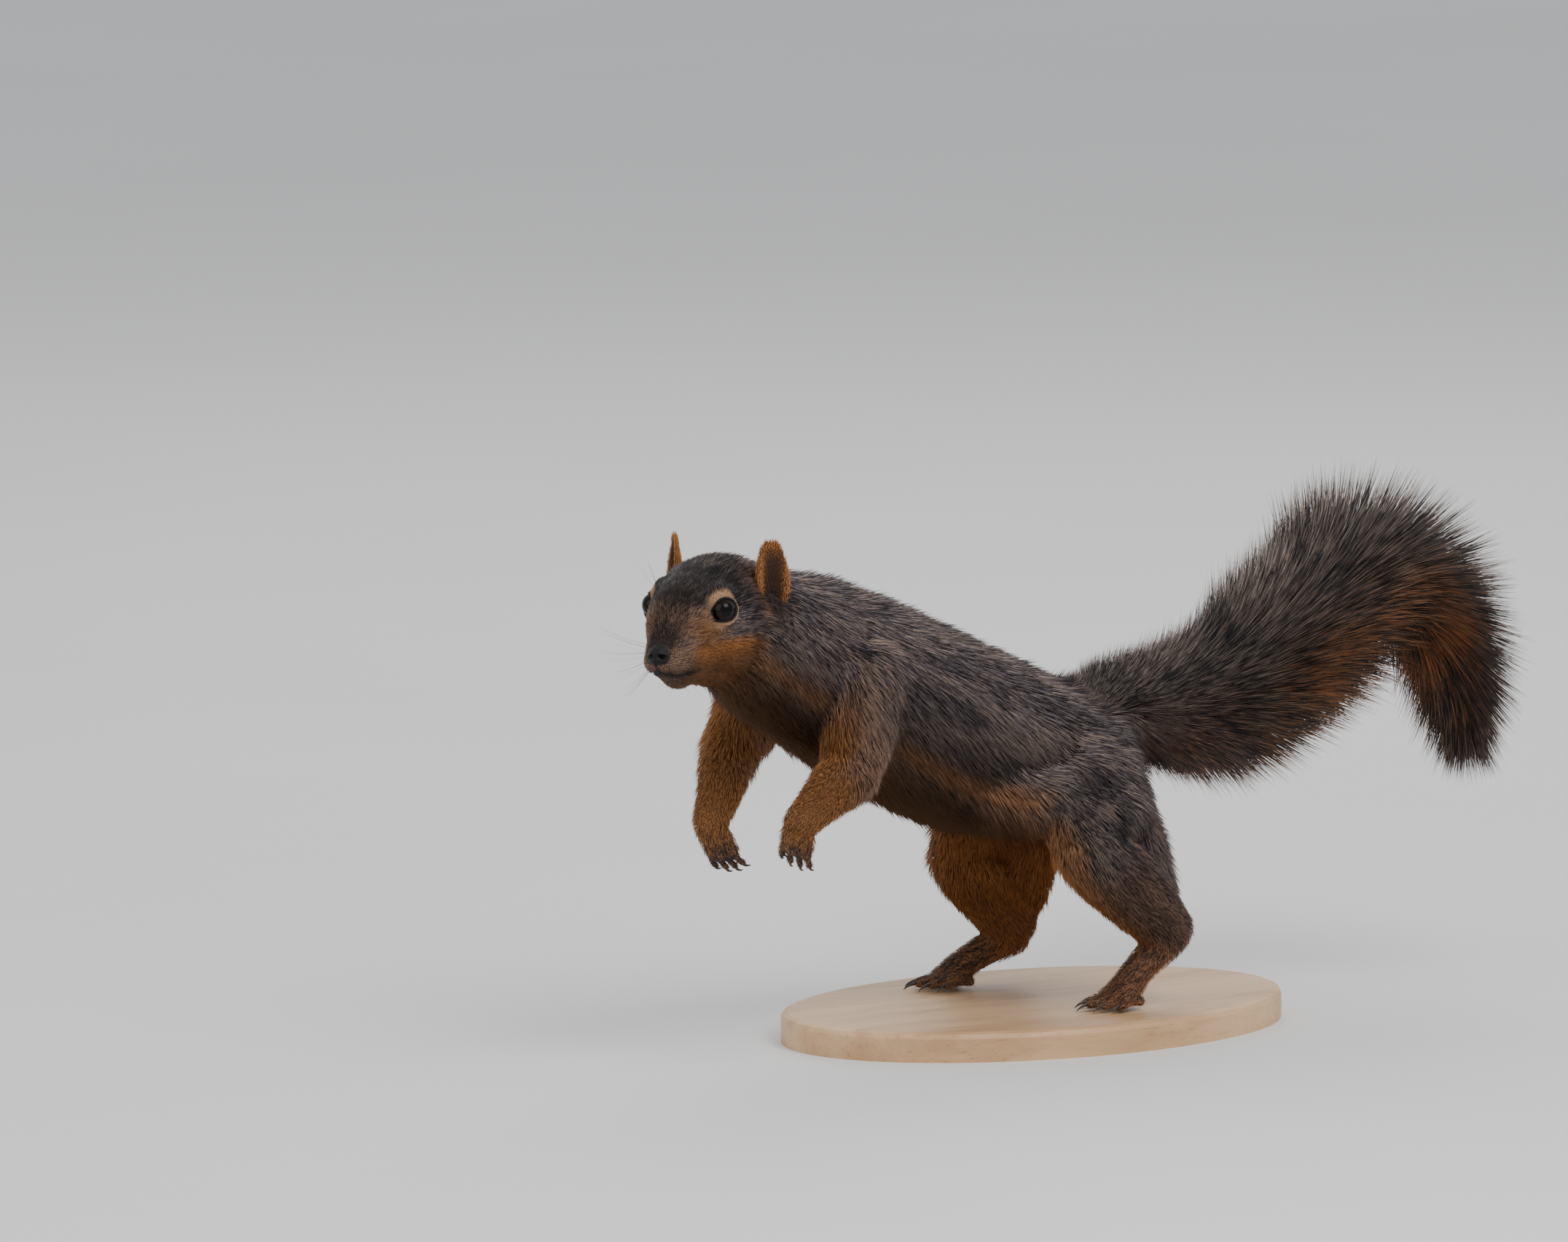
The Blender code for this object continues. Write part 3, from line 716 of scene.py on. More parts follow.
@dataclass
class Ear:
    """One ear: a thin cupped leaf, its root and tip given as places in the head."""

    stance: Stance
    side: Side
    root: Triple = (21.4, -27.5, -10.0)
    tip: Triple = (22.0, -31.5, 18.4)
    half_width: float = 6.9 * MM
    thickness: float = 1.2 * MM
    cup: float = 5.2 * MM
    facing: float = math.radians(50)

    def axes(self) -> tuple[Vector, Vector, Vector, Vector, float]:
        """The middle, the ways along, across and out of the opening, and half the length."""
        s = self.side.value
        root = self.stance.in_head(self.root[0] * s, self.root[1], self.root[2])
        tip = self.stance.in_head(self.tip[0] * s, self.tip[1], self.tip[2])
        along = (tip - root).normalized()
        out = self.stance.axes @ Vector((math.sin(self.facing) * s, math.cos(self.facing), 0))
        out = (out - along * out.dot(along)).normalized()
        return root.lerp(tip, 0.5), along, along.cross(out), out, (tip - root).length / 2

    def mesh(self) -> Mesh:
        """The ear's closed mesh."""
        middle, along, across, out, half = self.axes()
        body = unit_ball(sides=40, rings=26)
        for vertex in body.verts:
            a, b, c = vertex.co
            v = (c + 1) / 2
            round_ = max(math.sqrt(max(1 - c * c, 0.0)), 1e-4)
            a *= round_ ** -0.30 * (1.12 - 0.30 * v)
            hollow = self.cup * max(0.0, 1 - a * a) * (1.0 - 0.66 * v)
            roll = 0.9 * MM * a * a * (1 - v)
            vertex.co = (middle + along * (half * c) + across * (self.half_width * a)
                         + out * (self.thickness * 0.5 * b - hollow + self.cup * 0.15 + roll))
        bmesh.ops.reverse_faces(body, faces=body.faces)
        mesh = bpy.data.meshes.new("ear")
        body.to_mesh(mesh)
        body.free()
        return mesh


@dataclass(frozen=True)
class Digit:
    """A finger or toe: where it starts, its way and its sizes in millimetres."""

    root: Vector
    axes: Matrix
    aim: Vector
    length: float
    radius: float
    droop: float

    def at(self, share: float, lift: float = 0.0) -> Vector:
        """A place along the digit."""
        local = self.aim * (self.length * share) + Vector((0, 0, lift + self.droop * max(share, 0) ** 2))
        return self.root + self.axes @ (local * MM)

    def flesh(self) -> Mesh:
        """The digit's tube, swollen at its joint and its end pad."""
        steps = ((-0.2, 0.0, 1.05), (0.1, 0.35, 0.98), (0.42, 0.5, 0.86), (0.72, 0.1, 0.94),
                 (0.92, -0.1, 0.8), (1.0, -0.1, 0.35))
        places, radii = [self.at(s, h) for s, h, _ in steps], [self.radius * r for _, _, r in steps]
        return round_tube("digit", places, radii, self.axes.col[2])

    def claw(self) -> Mesh:
        """The hooked claw."""
        steps = ((0.80, 0.45, 0.34), (0.98, 0.5, 0.36), (1.12, 0.15, 0.27), (1.24, -0.65, 0.16),
                 (1.30, -1.5, 0.04))
        rows = [(self.at(s, h), self.radius * r * 0.8, self.radius * r * 1.1, self.radius * r * 1.1)
                for s, h, r in steps]
        return Loft(rows, self.axes.col[2], sides=10, rings_per_span=4).mesh("claw")


@dataclass
class Limbs:
    """The four legs with their paws, their sizes less the coat's depth.

    The digits' roots are in millimetres from the middle of the knuckles or of the ball of the foot.
    """

    stance: Stance
    finger_roots: tuple[Triple, ...] = ((-5.4, 0, 0), (-1.8, 0, 0), (1.8, 0, 0), (5.4, 0, 0))
    finger_spread: float = 0.15
    toe_roots: tuple[Triple, ...] = ((-7.0, -3.0, -4.3), (-3.9, 0, -4.3), (0, 1.2, -4.3), (3.9, 0, -4.3),
                                     (7.0, -3.0, -4.3))
    toe_spread: float = 0.26

    def hand_axes(self, side: Side) -> Matrix:
        """Rotation whose columns are a hand's left, forward and up."""
        wrist, knuckle, elbow = self.stance.wrist[side], self.stance.knuckle[side], self.stance.elbow[side]
        return frame_along(knuckle - wrist, wrist - elbow)

    def foot_axes(self, side: Side) -> Matrix:
        """Rotation whose columns are a hind foot's left, forward and up."""
        hock, ball = self.stance.hock[side], self.stance.ball[side]
        return frame_along(Vector((ball.x - hock.x, ball.y - hock.y, 0)), UP)

    @staticmethod
    def digits(root: Vector, axes: Matrix, places: Sequence[Triple], fanned: float, length: float,
               radius: float, droop: float) -> list[Digit]:
        """Digits fanned across a paw.

        Args:
            root: The middle of the knuckles or of the ball of the foot.
            axes: The paw's rotation.
            places: Where each digit starts, in millimetres from the root along the axes.
            fanned: How far the outer digits turn aside.
            length: The longest digit's length in millimetres.
            radius: Their half width in millimetres.
            droop: How far their ends rise, in millimetres.

        Returns:
            The digits.
        """
        made: list[Digit] = []
        last = len(places) - 1
        for k, place in enumerate(places):
            fan = (0.5 - k / last) * 2
            aim = Matrix.Rotation(fan * fanned, 3, "Z") @ Vector((0, 1, 0))
            own_length = length * (1 - 0.22 * abs(fan))
            made.append(Digit(root + axes @ mm(*place), axes, aim, own_length, radius, droop))
        return made

    def fingers(self, side: Side) -> list[Digit]:
        """The four fingers of a hand."""
        return self.digits(self.stance.knuckle[side], self.hand_axes(side), self.finger_roots,
                           self.finger_spread, length=9.5, radius=1.55, droop=-2.4)

    def toes(self, side: Side) -> list[Digit]:
        """The five toes of a hind foot."""
        return self.digits(self.stance.ball[side], self.foot_axes(side), self.toe_roots,
                           self.toe_spread, length=16.5, radius=1.85, droop=-0.5)

    def arm_forms(self, side: Side) -> list[Mesh]:
        """The flesh of a foreleg above the hand."""
        p = self.stance
        shoulder, elbow, wrist, knuckle = p.shoulder[side], p.elbow[side], p.wrist[side], p.knuckle[side]
        upper = [shoulder + (shoulder - elbow) * 0.25, shoulder, shoulder.lerp(elbow, 0.5), elbow,
                 elbow + (elbow - shoulder) * 0.1]
        lower = [elbow + (elbow - wrist) * 0.12, elbow, elbow.lerp(wrist, 0.35), elbow.lerp(wrist, 0.75),
                 wrist, wrist.lerp(knuckle, 0.4)]
        return [round_tube("upper_arm", upper, [6.5, 15.2, 13.9, 9.8, 4.5]),
                round_tube("forearm", lower, [5.4, 10.2, 8.8, 7.0, 6.1, 4.8])]

    def leg_forms(self, side: Side) -> list[Mesh]:
        """The flesh of a hind leg above the foot, with the folds that join it to the flank and rump."""
        p = self.stance
        hip, knee, hock, ball = p.hip[side], p.knee[side], p.hock[side], p.ball[side]
        lean = Vector((0, 0.3, 1))
        thigh: list[Station] = [
            (hip + mm(0, 8, 7), 12, 8, 12),
            (hip.lerp(knee, 0.15) + mm(0, 5, 2), 19.6, 15.6, 20.6),
            (hip.lerp(knee, 0.5) + mm(0, 6, -1), 20.6, 15.6, 19.6),
            (hip.lerp(knee, 0.8) + mm(0, 2, 0), 16.8, 12, 15),
            (knee, 11.8, 9.8, 10.3),
            (knee + (knee - hip) * 0.15, 4, 3, 3),
        ]
        fold: list[Station] = [
            (Vector((side.value * 19 * MM, -66 * MM, 98 * MM)), 5, 6, 8),
            (Vector((side.value * 22 * MM, -52 * MM, 90 * MM)), 9, 14, 12),
            (knee.lerp(hip, 0.35) + mm(0, -6, 0), 9, 13, 10),
            (knee, 8, 8, 8),
        ]
        ham: list[Station] = [
            (hip + mm(0, 14, -2), 10.5, 7, 9),
            (hip.lerp(hock, 0.3) + mm(0, 4.6, 2), 15.6, 11, 12),
            (hip.lerp(hock, 0.62) + mm(0, 3, 2), 11, 9.4, 9.4),
            (hip.lerp(hock, 0.9), 7.5, 6.5, 6.5),
            (hock, 4.5, 4, 4),
        ]
        made = [Loft(thigh, lean).mesh("thigh"), Loft(fold, lean).mesh("fold")]
        for y in (-13, -4):
            rows = ((13, 110 - 0.3 * y), (21, 102.5 - 0.25 * y), (26, 97 - 0.2 * y))
            places = [Vector((side.value * x * MM, y * MM, z * MM)) for x, z in rows]
            made.append(round_tube("haunch", places, [6.5, 8.5, 9]))
        shank = [knee + (knee - hock) * 0.05, knee, knee.lerp(hock, 0.3), knee.lerp(hock, 0.65), hock,
                 hock + (hock - knee) * 0.08]
        instep = [hock + (hock - ball) * 0.08, hock, hock.lerp(ball, 0.5), ball, ball + (ball - hock) * 0.05]
        return made + [round_tube("shank", shank, [5.4, 11.5, 13.8, 12.3, 9.2, 4]),
                       Loft(ham, lean).mesh("ham"),
                       round_tube("instep", instep, [3.5, 7.2, 6.2, 5.2, 4.0])]

    def hand_forms(self, side: Side) -> list[Mesh]:
        """The flesh of a hand."""
        wrist, knuckle, axes = self.stance.wrist[side], self.stance.knuckle[side], self.hand_axes(side)
        palm: list[Station] = [
            (wrist.lerp(knuckle, -0.45), 4.0, 4.0, 4.0),
            (wrist, 5.2, 4.8, 4.8),
            (wrist.lerp(knuckle, 0.6), 6.6, 4.2, 4.6),
            (knuckle, 7.0, 3.2, 3.8),
            (knuckle + axes @ mm(0, 2.6, -0.4), 5.2, 1.8, 2.4),
        ]
        made = [Loft(palm, axes.col[2]).mesh("palm")]
        made += [ellipsoid("pad", knuckle + axes @ mm(x, 0.6, -3.0), (2.0, 2.2, 1.7), axes)
                 for x in (-3.8, 0, 3.8)]
        return made + [finger.flesh() for finger in self.fingers(side)]

    def foot_forms(self, side: Side) -> list[Mesh]:
        """The flesh of a hind foot."""
        hock, ball, axes = self.stance.hock[side], self.stance.ball[side], self.foot_axes(side)
        sole: list[Station] = [
            (hock.lerp(ball, 0.3), 4.4, 4.4, 4.4),
            (hock.lerp(ball, 0.7), 6.4, 5.2, 5.4),
            (ball + mm(0, 0, -0.6), 8.4, 4.6, 5.6),
            (ball + axes @ mm(0, 5.0, -2.4), 8.6, 2.6, 4.2),
            (ball + axes @ mm(0, 8.0, -3.6), 6.0, 1.4, 2.4),
        ]
        return [Loft(sole, axes.col[2]).mesh("sole"), *(toe.flesh() for toe in self.toes(side))]

    def forms(self, side: Side) -> list[Mesh]:
        """All the flesh of the limbs of a side."""
        return [*self.arm_forms(side), *self.leg_forms(side), *self.hand_forms(side), *self.foot_forms(side)]


@dataclass
class Trunk:
    """Rump, loins, chest and neck under the coat."""

    stations: tuple[Station, ...] = (
        (mm(0, 20, 93), 9, 8, 8),
        (mm(0, 10, 94), 21, 18, 20),
        (mm(0, -7, 97), 29, 26, 28),
        (mm(0, -30, 104), 32, 30, 35),
        (mm(1, -58, 113), 33, 34, 39),
        (mm(4, -88, 126), 33, 35, 38.5),
        (mm(9, -114, 138), 31, 34, 36),
        (mm(14, -136, 149), 27, 31, 33),
        (mm(21, -156, 158), 23, 27, 31),
        (mm(28, -172, 166), 21, 24.5, 29),
        (mm(33, -186, 170), 19, 19.5, 25),
    )
    coat: float = 3.3  # the coat's depth, in millimetres

    def mesh(self) -> Mesh:
        """The trunk's tube."""
        last = len(self.stations) - 1
        rows: list[Station] = []
        for k, (centre, width, rise, fall) in enumerate(self.stations):
            depth = self.coat * (1 - 0.45 * max(0.0, k / last * 2 - 1))
            rows.append((centre, width - depth, rise - depth, fall - depth * 0.8))
        return Loft(rows, squareness=2.1, sides=48).mesh("trunk")

    def height(self, places: Rows) -> Rows:
        """How high places lie on the trunk: 1 on the back, -1 on the belly."""
        rows = Loft(self.stations, rings_per_span=4).rows()
        nearest = np.argmin(((places[:, None, :] - rows[None, :, :3]) ** 2).sum(2), axis=1)
        heading = unit(np.gradient(rows[:, :3], axis=0))
        side = unit(np.cross(heading, np.array([0.0, 0.0, 1.0])))
        over = np.cross(side, heading)
        above = np.einsum("ij,ij->i", places - rows[nearest, :3], over[nearest])
        reach = np.where(above > 0, rows[nearest, 4], rows[nearest, 5])
        return above / reach


# ---- How the coat grows


class Part(Enum):
    """A part of the body with its own coat."""

    HEAD = "head"
    TRUNK = "trunk"
    ARM = "arm"
    FOREARM = "forearm"
    HAND = "hand"
    THIGH = "thigh"
    SHANK = "shank"
    FOOT = "foot"


@dataclass(frozen=True)
class Bone:
    """A stretch of the body that leads the hair along it."""

    part: Part
    start: Vector
    end: Vector
    girth: float  # how far its lead reaches, in millimetres
    hair: tuple[float, float]  # the hair's length at its start and its end, in millimetres
    droop: float = 0.0  # how much the hair turns down on the flanks
    way: Vector | None = None  # where the hair points, if not along the stretch


@dataclass
class Ground:
    """What the coat's fields are worked out from, with one row for each point of the skin."""

    places: Rows
    normals: Rows
    local: Rows  # side, ahead and up in the head, in millimetres
    parts: dict[Part, Rows]
    heading: Rows
    length: Rows

    def __post_init__(self) -> None:
        """Starts the fields of the tail, the ears, the painted shade in the ears' hollows and the lids."""
        self.brush, self.ear, self.ear_inside, self.ear_rim, self.hollow_shade = np.zeros((5, len(self.places)))
        self.ring = np.full(len(self.places), 9.0)  # over the lids from an eye's opening, in millimetres


@dataclass
class Growth:
    """The lie, the length and the colours of the coat at each place of the skin."""

    stance: Stance
    trunk: Trunk
    tail: Tail
    head: Head
    limbs: Limbs
    sharpness: float = 2.6
    streak_seed: int = 5
    streak_rounds: int = 9
    streak_kept: float = 0.35

    def bones(self) -> list[Bone]:
        """The stretches that lead the hair, from the nose back and down to the toes."""
        p = self.stance
        made = [
            Bone(Part.HEAD, p.in_head(0, 26, -12), p.in_head(0, 2, -8), 14, (1.5, 3.2)),
            Bone(Part.HEAD, p.in_head(0, 2, -8), p.in_head(0, -36, -8), 21, (3.2, 6.4)),
            Bone(Part.TRUNK, p.in_head(0, -38, -10), mm(21, -156, 157), 24, (8.5, 10.0), 0.5),
        ]
        spine = [mm(21, -156, 157), mm(9, -114, 138), mm(1, -58, 112), mm(0, -30, 103), mm(0, 12, 94)]
        for k, (a, b) in enumerate(zip(spine[:-1], spine[1:])):
            made.append(Bone(Part.TRUNK, a, b, 33, (10.0 + 0.4 * k, 10.4 + 0.4 * k), 0.66 + 0.10 * k))
        for side in Side:
            shoulder, elbow, wrist = p.shoulder[side], p.elbow[side], p.wrist[side]
            knuckle, hip, knee = p.knuckle[side], p.hip[side], p.knee[side]
            hock, ball = p.hock[side], p.ball[side]
            fingers = self.limbs.fingers(side)
            toes = self.limbs.toes(side)
            made += [
                Bone(Part.ARM, shoulder, elbow, 16, (9.5, 6.5), 0.3, elbow - shoulder + mm(0, 22, 0)),
                Bone(Part.FOREARM, elbow, wrist, 9.5, (6.0, 3.6)),
                Bone(Part.HAND, wrist, knuckle, 7, (3.2, 2.2)),
                Bone(Part.HAND, knuckle, (fingers[1].at(1) + fingers[2].at(1)) / 2, 7, (2.0, 1.2)),
                Bone(Part.THIGH, hip + mm(0, 4, 0), knee, 17, (10.5, 7.5), 0.3, hock - hip + mm(0, 10, 0)),
                Bone(Part.THIGH, hip + mm(0, 12, -2), hip.lerp(hock, 0.6), 14, (10.5, 7.5), 0.3),
                Bone(Part.SHANK, knee, hock, 12, (7, 3.6)),
                Bone(Part.FOOT, hock, ball, 8, (3.4, 2.4)),
                Bone(Part.FOOT, ball, toes[2].at(1), 8, (2.4, 1.5)),
            ]
        return made

    def lead(self, places: Rows) -> tuple[dict[Part, Rows], Rows, Rows, Rows]:
        """The shares of the parts, and the heading, length and droop of the hair.

        Args:
            places: Places on the skin.

        Returns:
            The shares, the headings, the lengths in metres and the droop.
        """
        bones = self.bones()
        weights: list[Rows] = []
        headings: list[Rows] = []
        lengths: list[Rows] = []
        for bone in bones:
            a, b = np.array(bone.start), np.array(bone.end)
            along = np.clip((places - a) @ (b - a) / ((b - a) @ (b - a)), 0, 1)
            away = np.linalg.norm(places - a - along[:, None] * (b - a), axis=1) / (bone.girth * MM)
            weights.append(np.exp(-self.sharpness * away**2) + 1e-9)
            headings.append(unit((b - a if bone.way is None else np.array(bone.way))[None])[0])
            lengths.append(bone.hair[0] + (bone.hair[1] - bone.hair[0]) * along)
        weight = np.array(weights)
        weight /= weight.sum(0)
        parts = {part: sum(weight[k] for k, bone in enumerate(bones) if bone.part is part) for part in Part}
        droop = sum(weight[k] * bone.droop for k, bone in enumerate(bones))
        heading = np.einsum("kn,kj->nj", weight, np.array(headings))
        return parts, heading, (weight * np.array(lengths)).sum(0) * MM, droop

    def streaks(self, mesh: Mesh, lie: Rows) -> Rows:
        """Light and dark streaks drawn out along the lie of the coat, from 0 to 1 round 0.5."""
        places = points_of(mesh)
        a, b = edge_ends(mesh)
        way = unit(places[b] - places[a])
        hold = np.abs(np.einsum("ij,ij->i", way, unit(lie[a] + lie[b]))) ** 10 + 0.004
        count = len(places)
        values = np.random.default_rng(self.streak_seed).random(count)
        total = np.bincount(a, hold, count) + np.bincount(b, hold, count) + self.streak_kept
        for _ in range(self.streak_rounds):
            drawn = np.bincount(a, hold * values[b], count) + np.bincount(b, hold * values[a], count)
            values = (drawn + self.streak_kept * values) / total
        return np.clip(0.5 + (values - values.mean()) / (values.std() * 4.5), 0, 1)

    def on_tail(self, places: Rows) -> tuple[Rows, Rows, Rows, Rows]:
        """How places lie on the tail.

        Args:
            places: Places on the skin.

        Returns:
            How much each belongs to the tail, its share of the length, the way that its hair points with
            the hair's length as its size, and how far up the tail's outline it lies, from -1 to 1.
        """
        route = self.tail.route()
        nearest = np.argmin(((places[:, None, :] - route["place"][None]) ** 2).sum(2), axis=1)
        away = places - route["place"][nearest]
        before = np.where(nearest == 0, np.einsum("ij,ij->i", away, route["heading"][nearest]), 0.0)
        share = route["share"][nearest] + np.minimum(before, 0) / self.tail.length
        across = np.einsum("ij,ij->i", away, route["side"][nearest])
        above = np.einsum("ij,ij->i", away, route["over"][nearest])
        size = np.hypot(across, above) + 1e-9
        c, s = across / size, above / size
        radial = route["side"][nearest] * c[:, None] + route["over"][nearest] * s[:, None]
        reach = route["reach"][nearest]
        rise = np.where(s > 0, reach[:, 1], reach[:, 2])
        outline = 1.0 / np.sqrt((c / reach[:, 0]) ** 2 + (s / rise) ** 2)
        forward = (9 + 24 * ramp(0.07, 0.28, share) - 12 * ramp(0.78, 1.0, share)) * MM
        taper = 1 - 0.35 * ramp(0.78, 0.95, share)
        out = np.maximum(outline * self.tail.bush * taper - size, 3 * MM)
        out *= 0.12 + 0.88 * ramp(-0.06, 0.10, share)
        vector = route["heading"][nearest] * forward[:, None] + radial * out[:, None]
        top = ramp(0.2, 0.7, s)
        behind = ramp(0.0, 0.08, share - 0.07 + 0.13 * top)
        behind *= 1 - ramp(18 * MM, 20 * MM, size - top * ramp(0.1, 0.0, share) * 4 * MM)
        return behind, share, vector, s

    def part_round_face(self, ground: Ground) -> None:
        """Leads the hair of the head away from the nose and from the eyes, where it is short."""
        places, head = ground.places, ground.parts[Part.HEAD]
        nose = np.array(self.stance.in_head(0, 30, -12))
        outward = unit(places - nose)
        ground.heading = ground.heading * (1 - 0.55 * head)[:, None] + outward * (0.55 * head)[:, None]
        for side in Side:
            away = places - np.array(self.stance.eye_centre(side))
            distance = np.linalg.norm(away, axis=1)
            pull = np.exp(-((np.maximum(distance - self.stance.eye_radius, 0) / (3.6 * MM)) ** 2)) * head
            ground.heading += unit(away) * (1.5 * pull)[:, None]
            ground.length *= 1 - 0.62 * pull

    def comb_ears(self, ground: Ground, ears: dict[Side, Rows]) -> None:
        """Leads the short hair of the ears up and out to their edges, and finds their hollows."""
        for side, mask in ears.items():
            ear = Ear(self.stance, side)
            middle, along, across, out, half = ear.axes()
            from_middle = ground.places - np.array(middle)
            up = from_middle @ np.array(along) / half
            aside = from_middle @ np.array(across) / ear.half_width
            lean = np.array(along)[None] * 1.0 + np.array(across)[None] * (aside * 0.55)[:, None]
            inside = ramp(0.0, 0.35, ground.normals @ np.array(out))
            edge = ramp(0.22, 0.72, np.abs(aside * side.value - 0.18))
            rim = np.maximum(edge, ramp(0.35, 0.9, up))
            ground.heading = np.where(mask[:, None], lean, ground.heading)
            ground.ear = np.where(mask, 1.0, ground.ear)
            ground.ear_inside = np.where(mask, inside, ground.ear_inside)
            ground.ear_rim = np.where(mask, rim, ground.ear_rim)
            ground.length = np.where(mask, (1.5 + 0.7 * ramp(0.5, 1.0, rim)) * MM, ground.length)

    def bare(self, ground: Ground) -> Rows:
        """1 on the nose, the lips, the edges of the lids, the palms and the soles, where no hair grows."""
        places, parts = ground.places, ground.parts
        lips = np.exp(-((self.head.mouth_distance(places) / 0.8) ** 2)) * 0.9
        lids = 1 - ramp(0.45, 0.75, ground.ring)
        soles = (places[:, 2] < 1.2 * MM) * 1.0
        palms = (parts[Part.HAND] + parts[Part.FOOT]) * ramp(0.55, 0.8, -ground.normals[:, 2])
        return np.clip(np.maximum.reduce([self.head.nose_mask(places), lips, lids, soles, palms]), 0, 1)

    def cover(self, mesh: Mesh, ears: dict[Side, Rows]) -> Ground:
        """Stores the coat's lie, length, density, markings and painted shade on the skin.

        Args:
            mesh: The skin.
            ears: The points of each ear, as a mask over the skin's points.

        Returns:
            What the fields were worked out from.
        """
        places, normals = points_of(mesh), normals_of(mesh)
        parts, heading, length, droop = self.lead(places)
        ground = Ground(places, normals, self.stance.head_coordinates(places), parts, heading, length)
        self.part_round_face(ground)
        flank = np.sqrt(np.clip(1 - normals[:, 2] ** 2, 0, 1))
        ground.heading += np.array([0, 0, -1.0]) * (droop * flank)[:, None]
        self.comb_ears(ground, ears)
        off_ears = 1 - ground.ear
        pit = self.head.ear_pit(places, 6.5) * off_ears
        length = ground.length * (1 - 0.72 * self.head.ear_pit(places, 9.0) * off_ears)
        heading = ground.heading
        lie = unit(heading - normals * np.einsum("ij,ij->i", heading, normals)[:, None])
        brush, share, vector, over = self.on_tail(places)
        ground.brush = brush * off_ears
        late = ramp(0.35, 0.75, ground.brush)
        lie = unit(lie * (1 - late)[:, None] + unit(vector) * late[:, None])
        length = length * (1 - late) + np.linalg.norm(vector, axis=1) * late
        for side in Side:
            off_face = (parts[Part.HEAD] < 0.3) * 9
            ground.ring = np.minimum(ground.ring, self.head.opening(places, side)[2] + off_face)
        bare = self.bare(ground)
        off_rim = 1 - ground.ear_rim
        # Painted shade: the hollow of each ear and the hollow before its root.
        ground.hollow_shade = np.maximum(ground.ear_inside * off_rim, np.minimum(1.8 * pit, 1.0))
        density = (1 - bare) * (1 - 0.8 * ground.ear_inside * off_rim) * (1 - 0.75 * pit)
        fields = {
            "lie": lie, "streak": self.streaks(mesh, lie), "length": length, "density": density,
            "bare": bare, "brush": ground.brush, "ear": ground.ear, "ear_inside": ground.ear_inside,
            "nose": self.head.nose_mask(places), "over": over, "tail_share": share,
        }
        for name, values in fields.items():
            store(mesh, name, values)
        Markings(ground, self.trunk, self.head).store_on(mesh)
        return ground


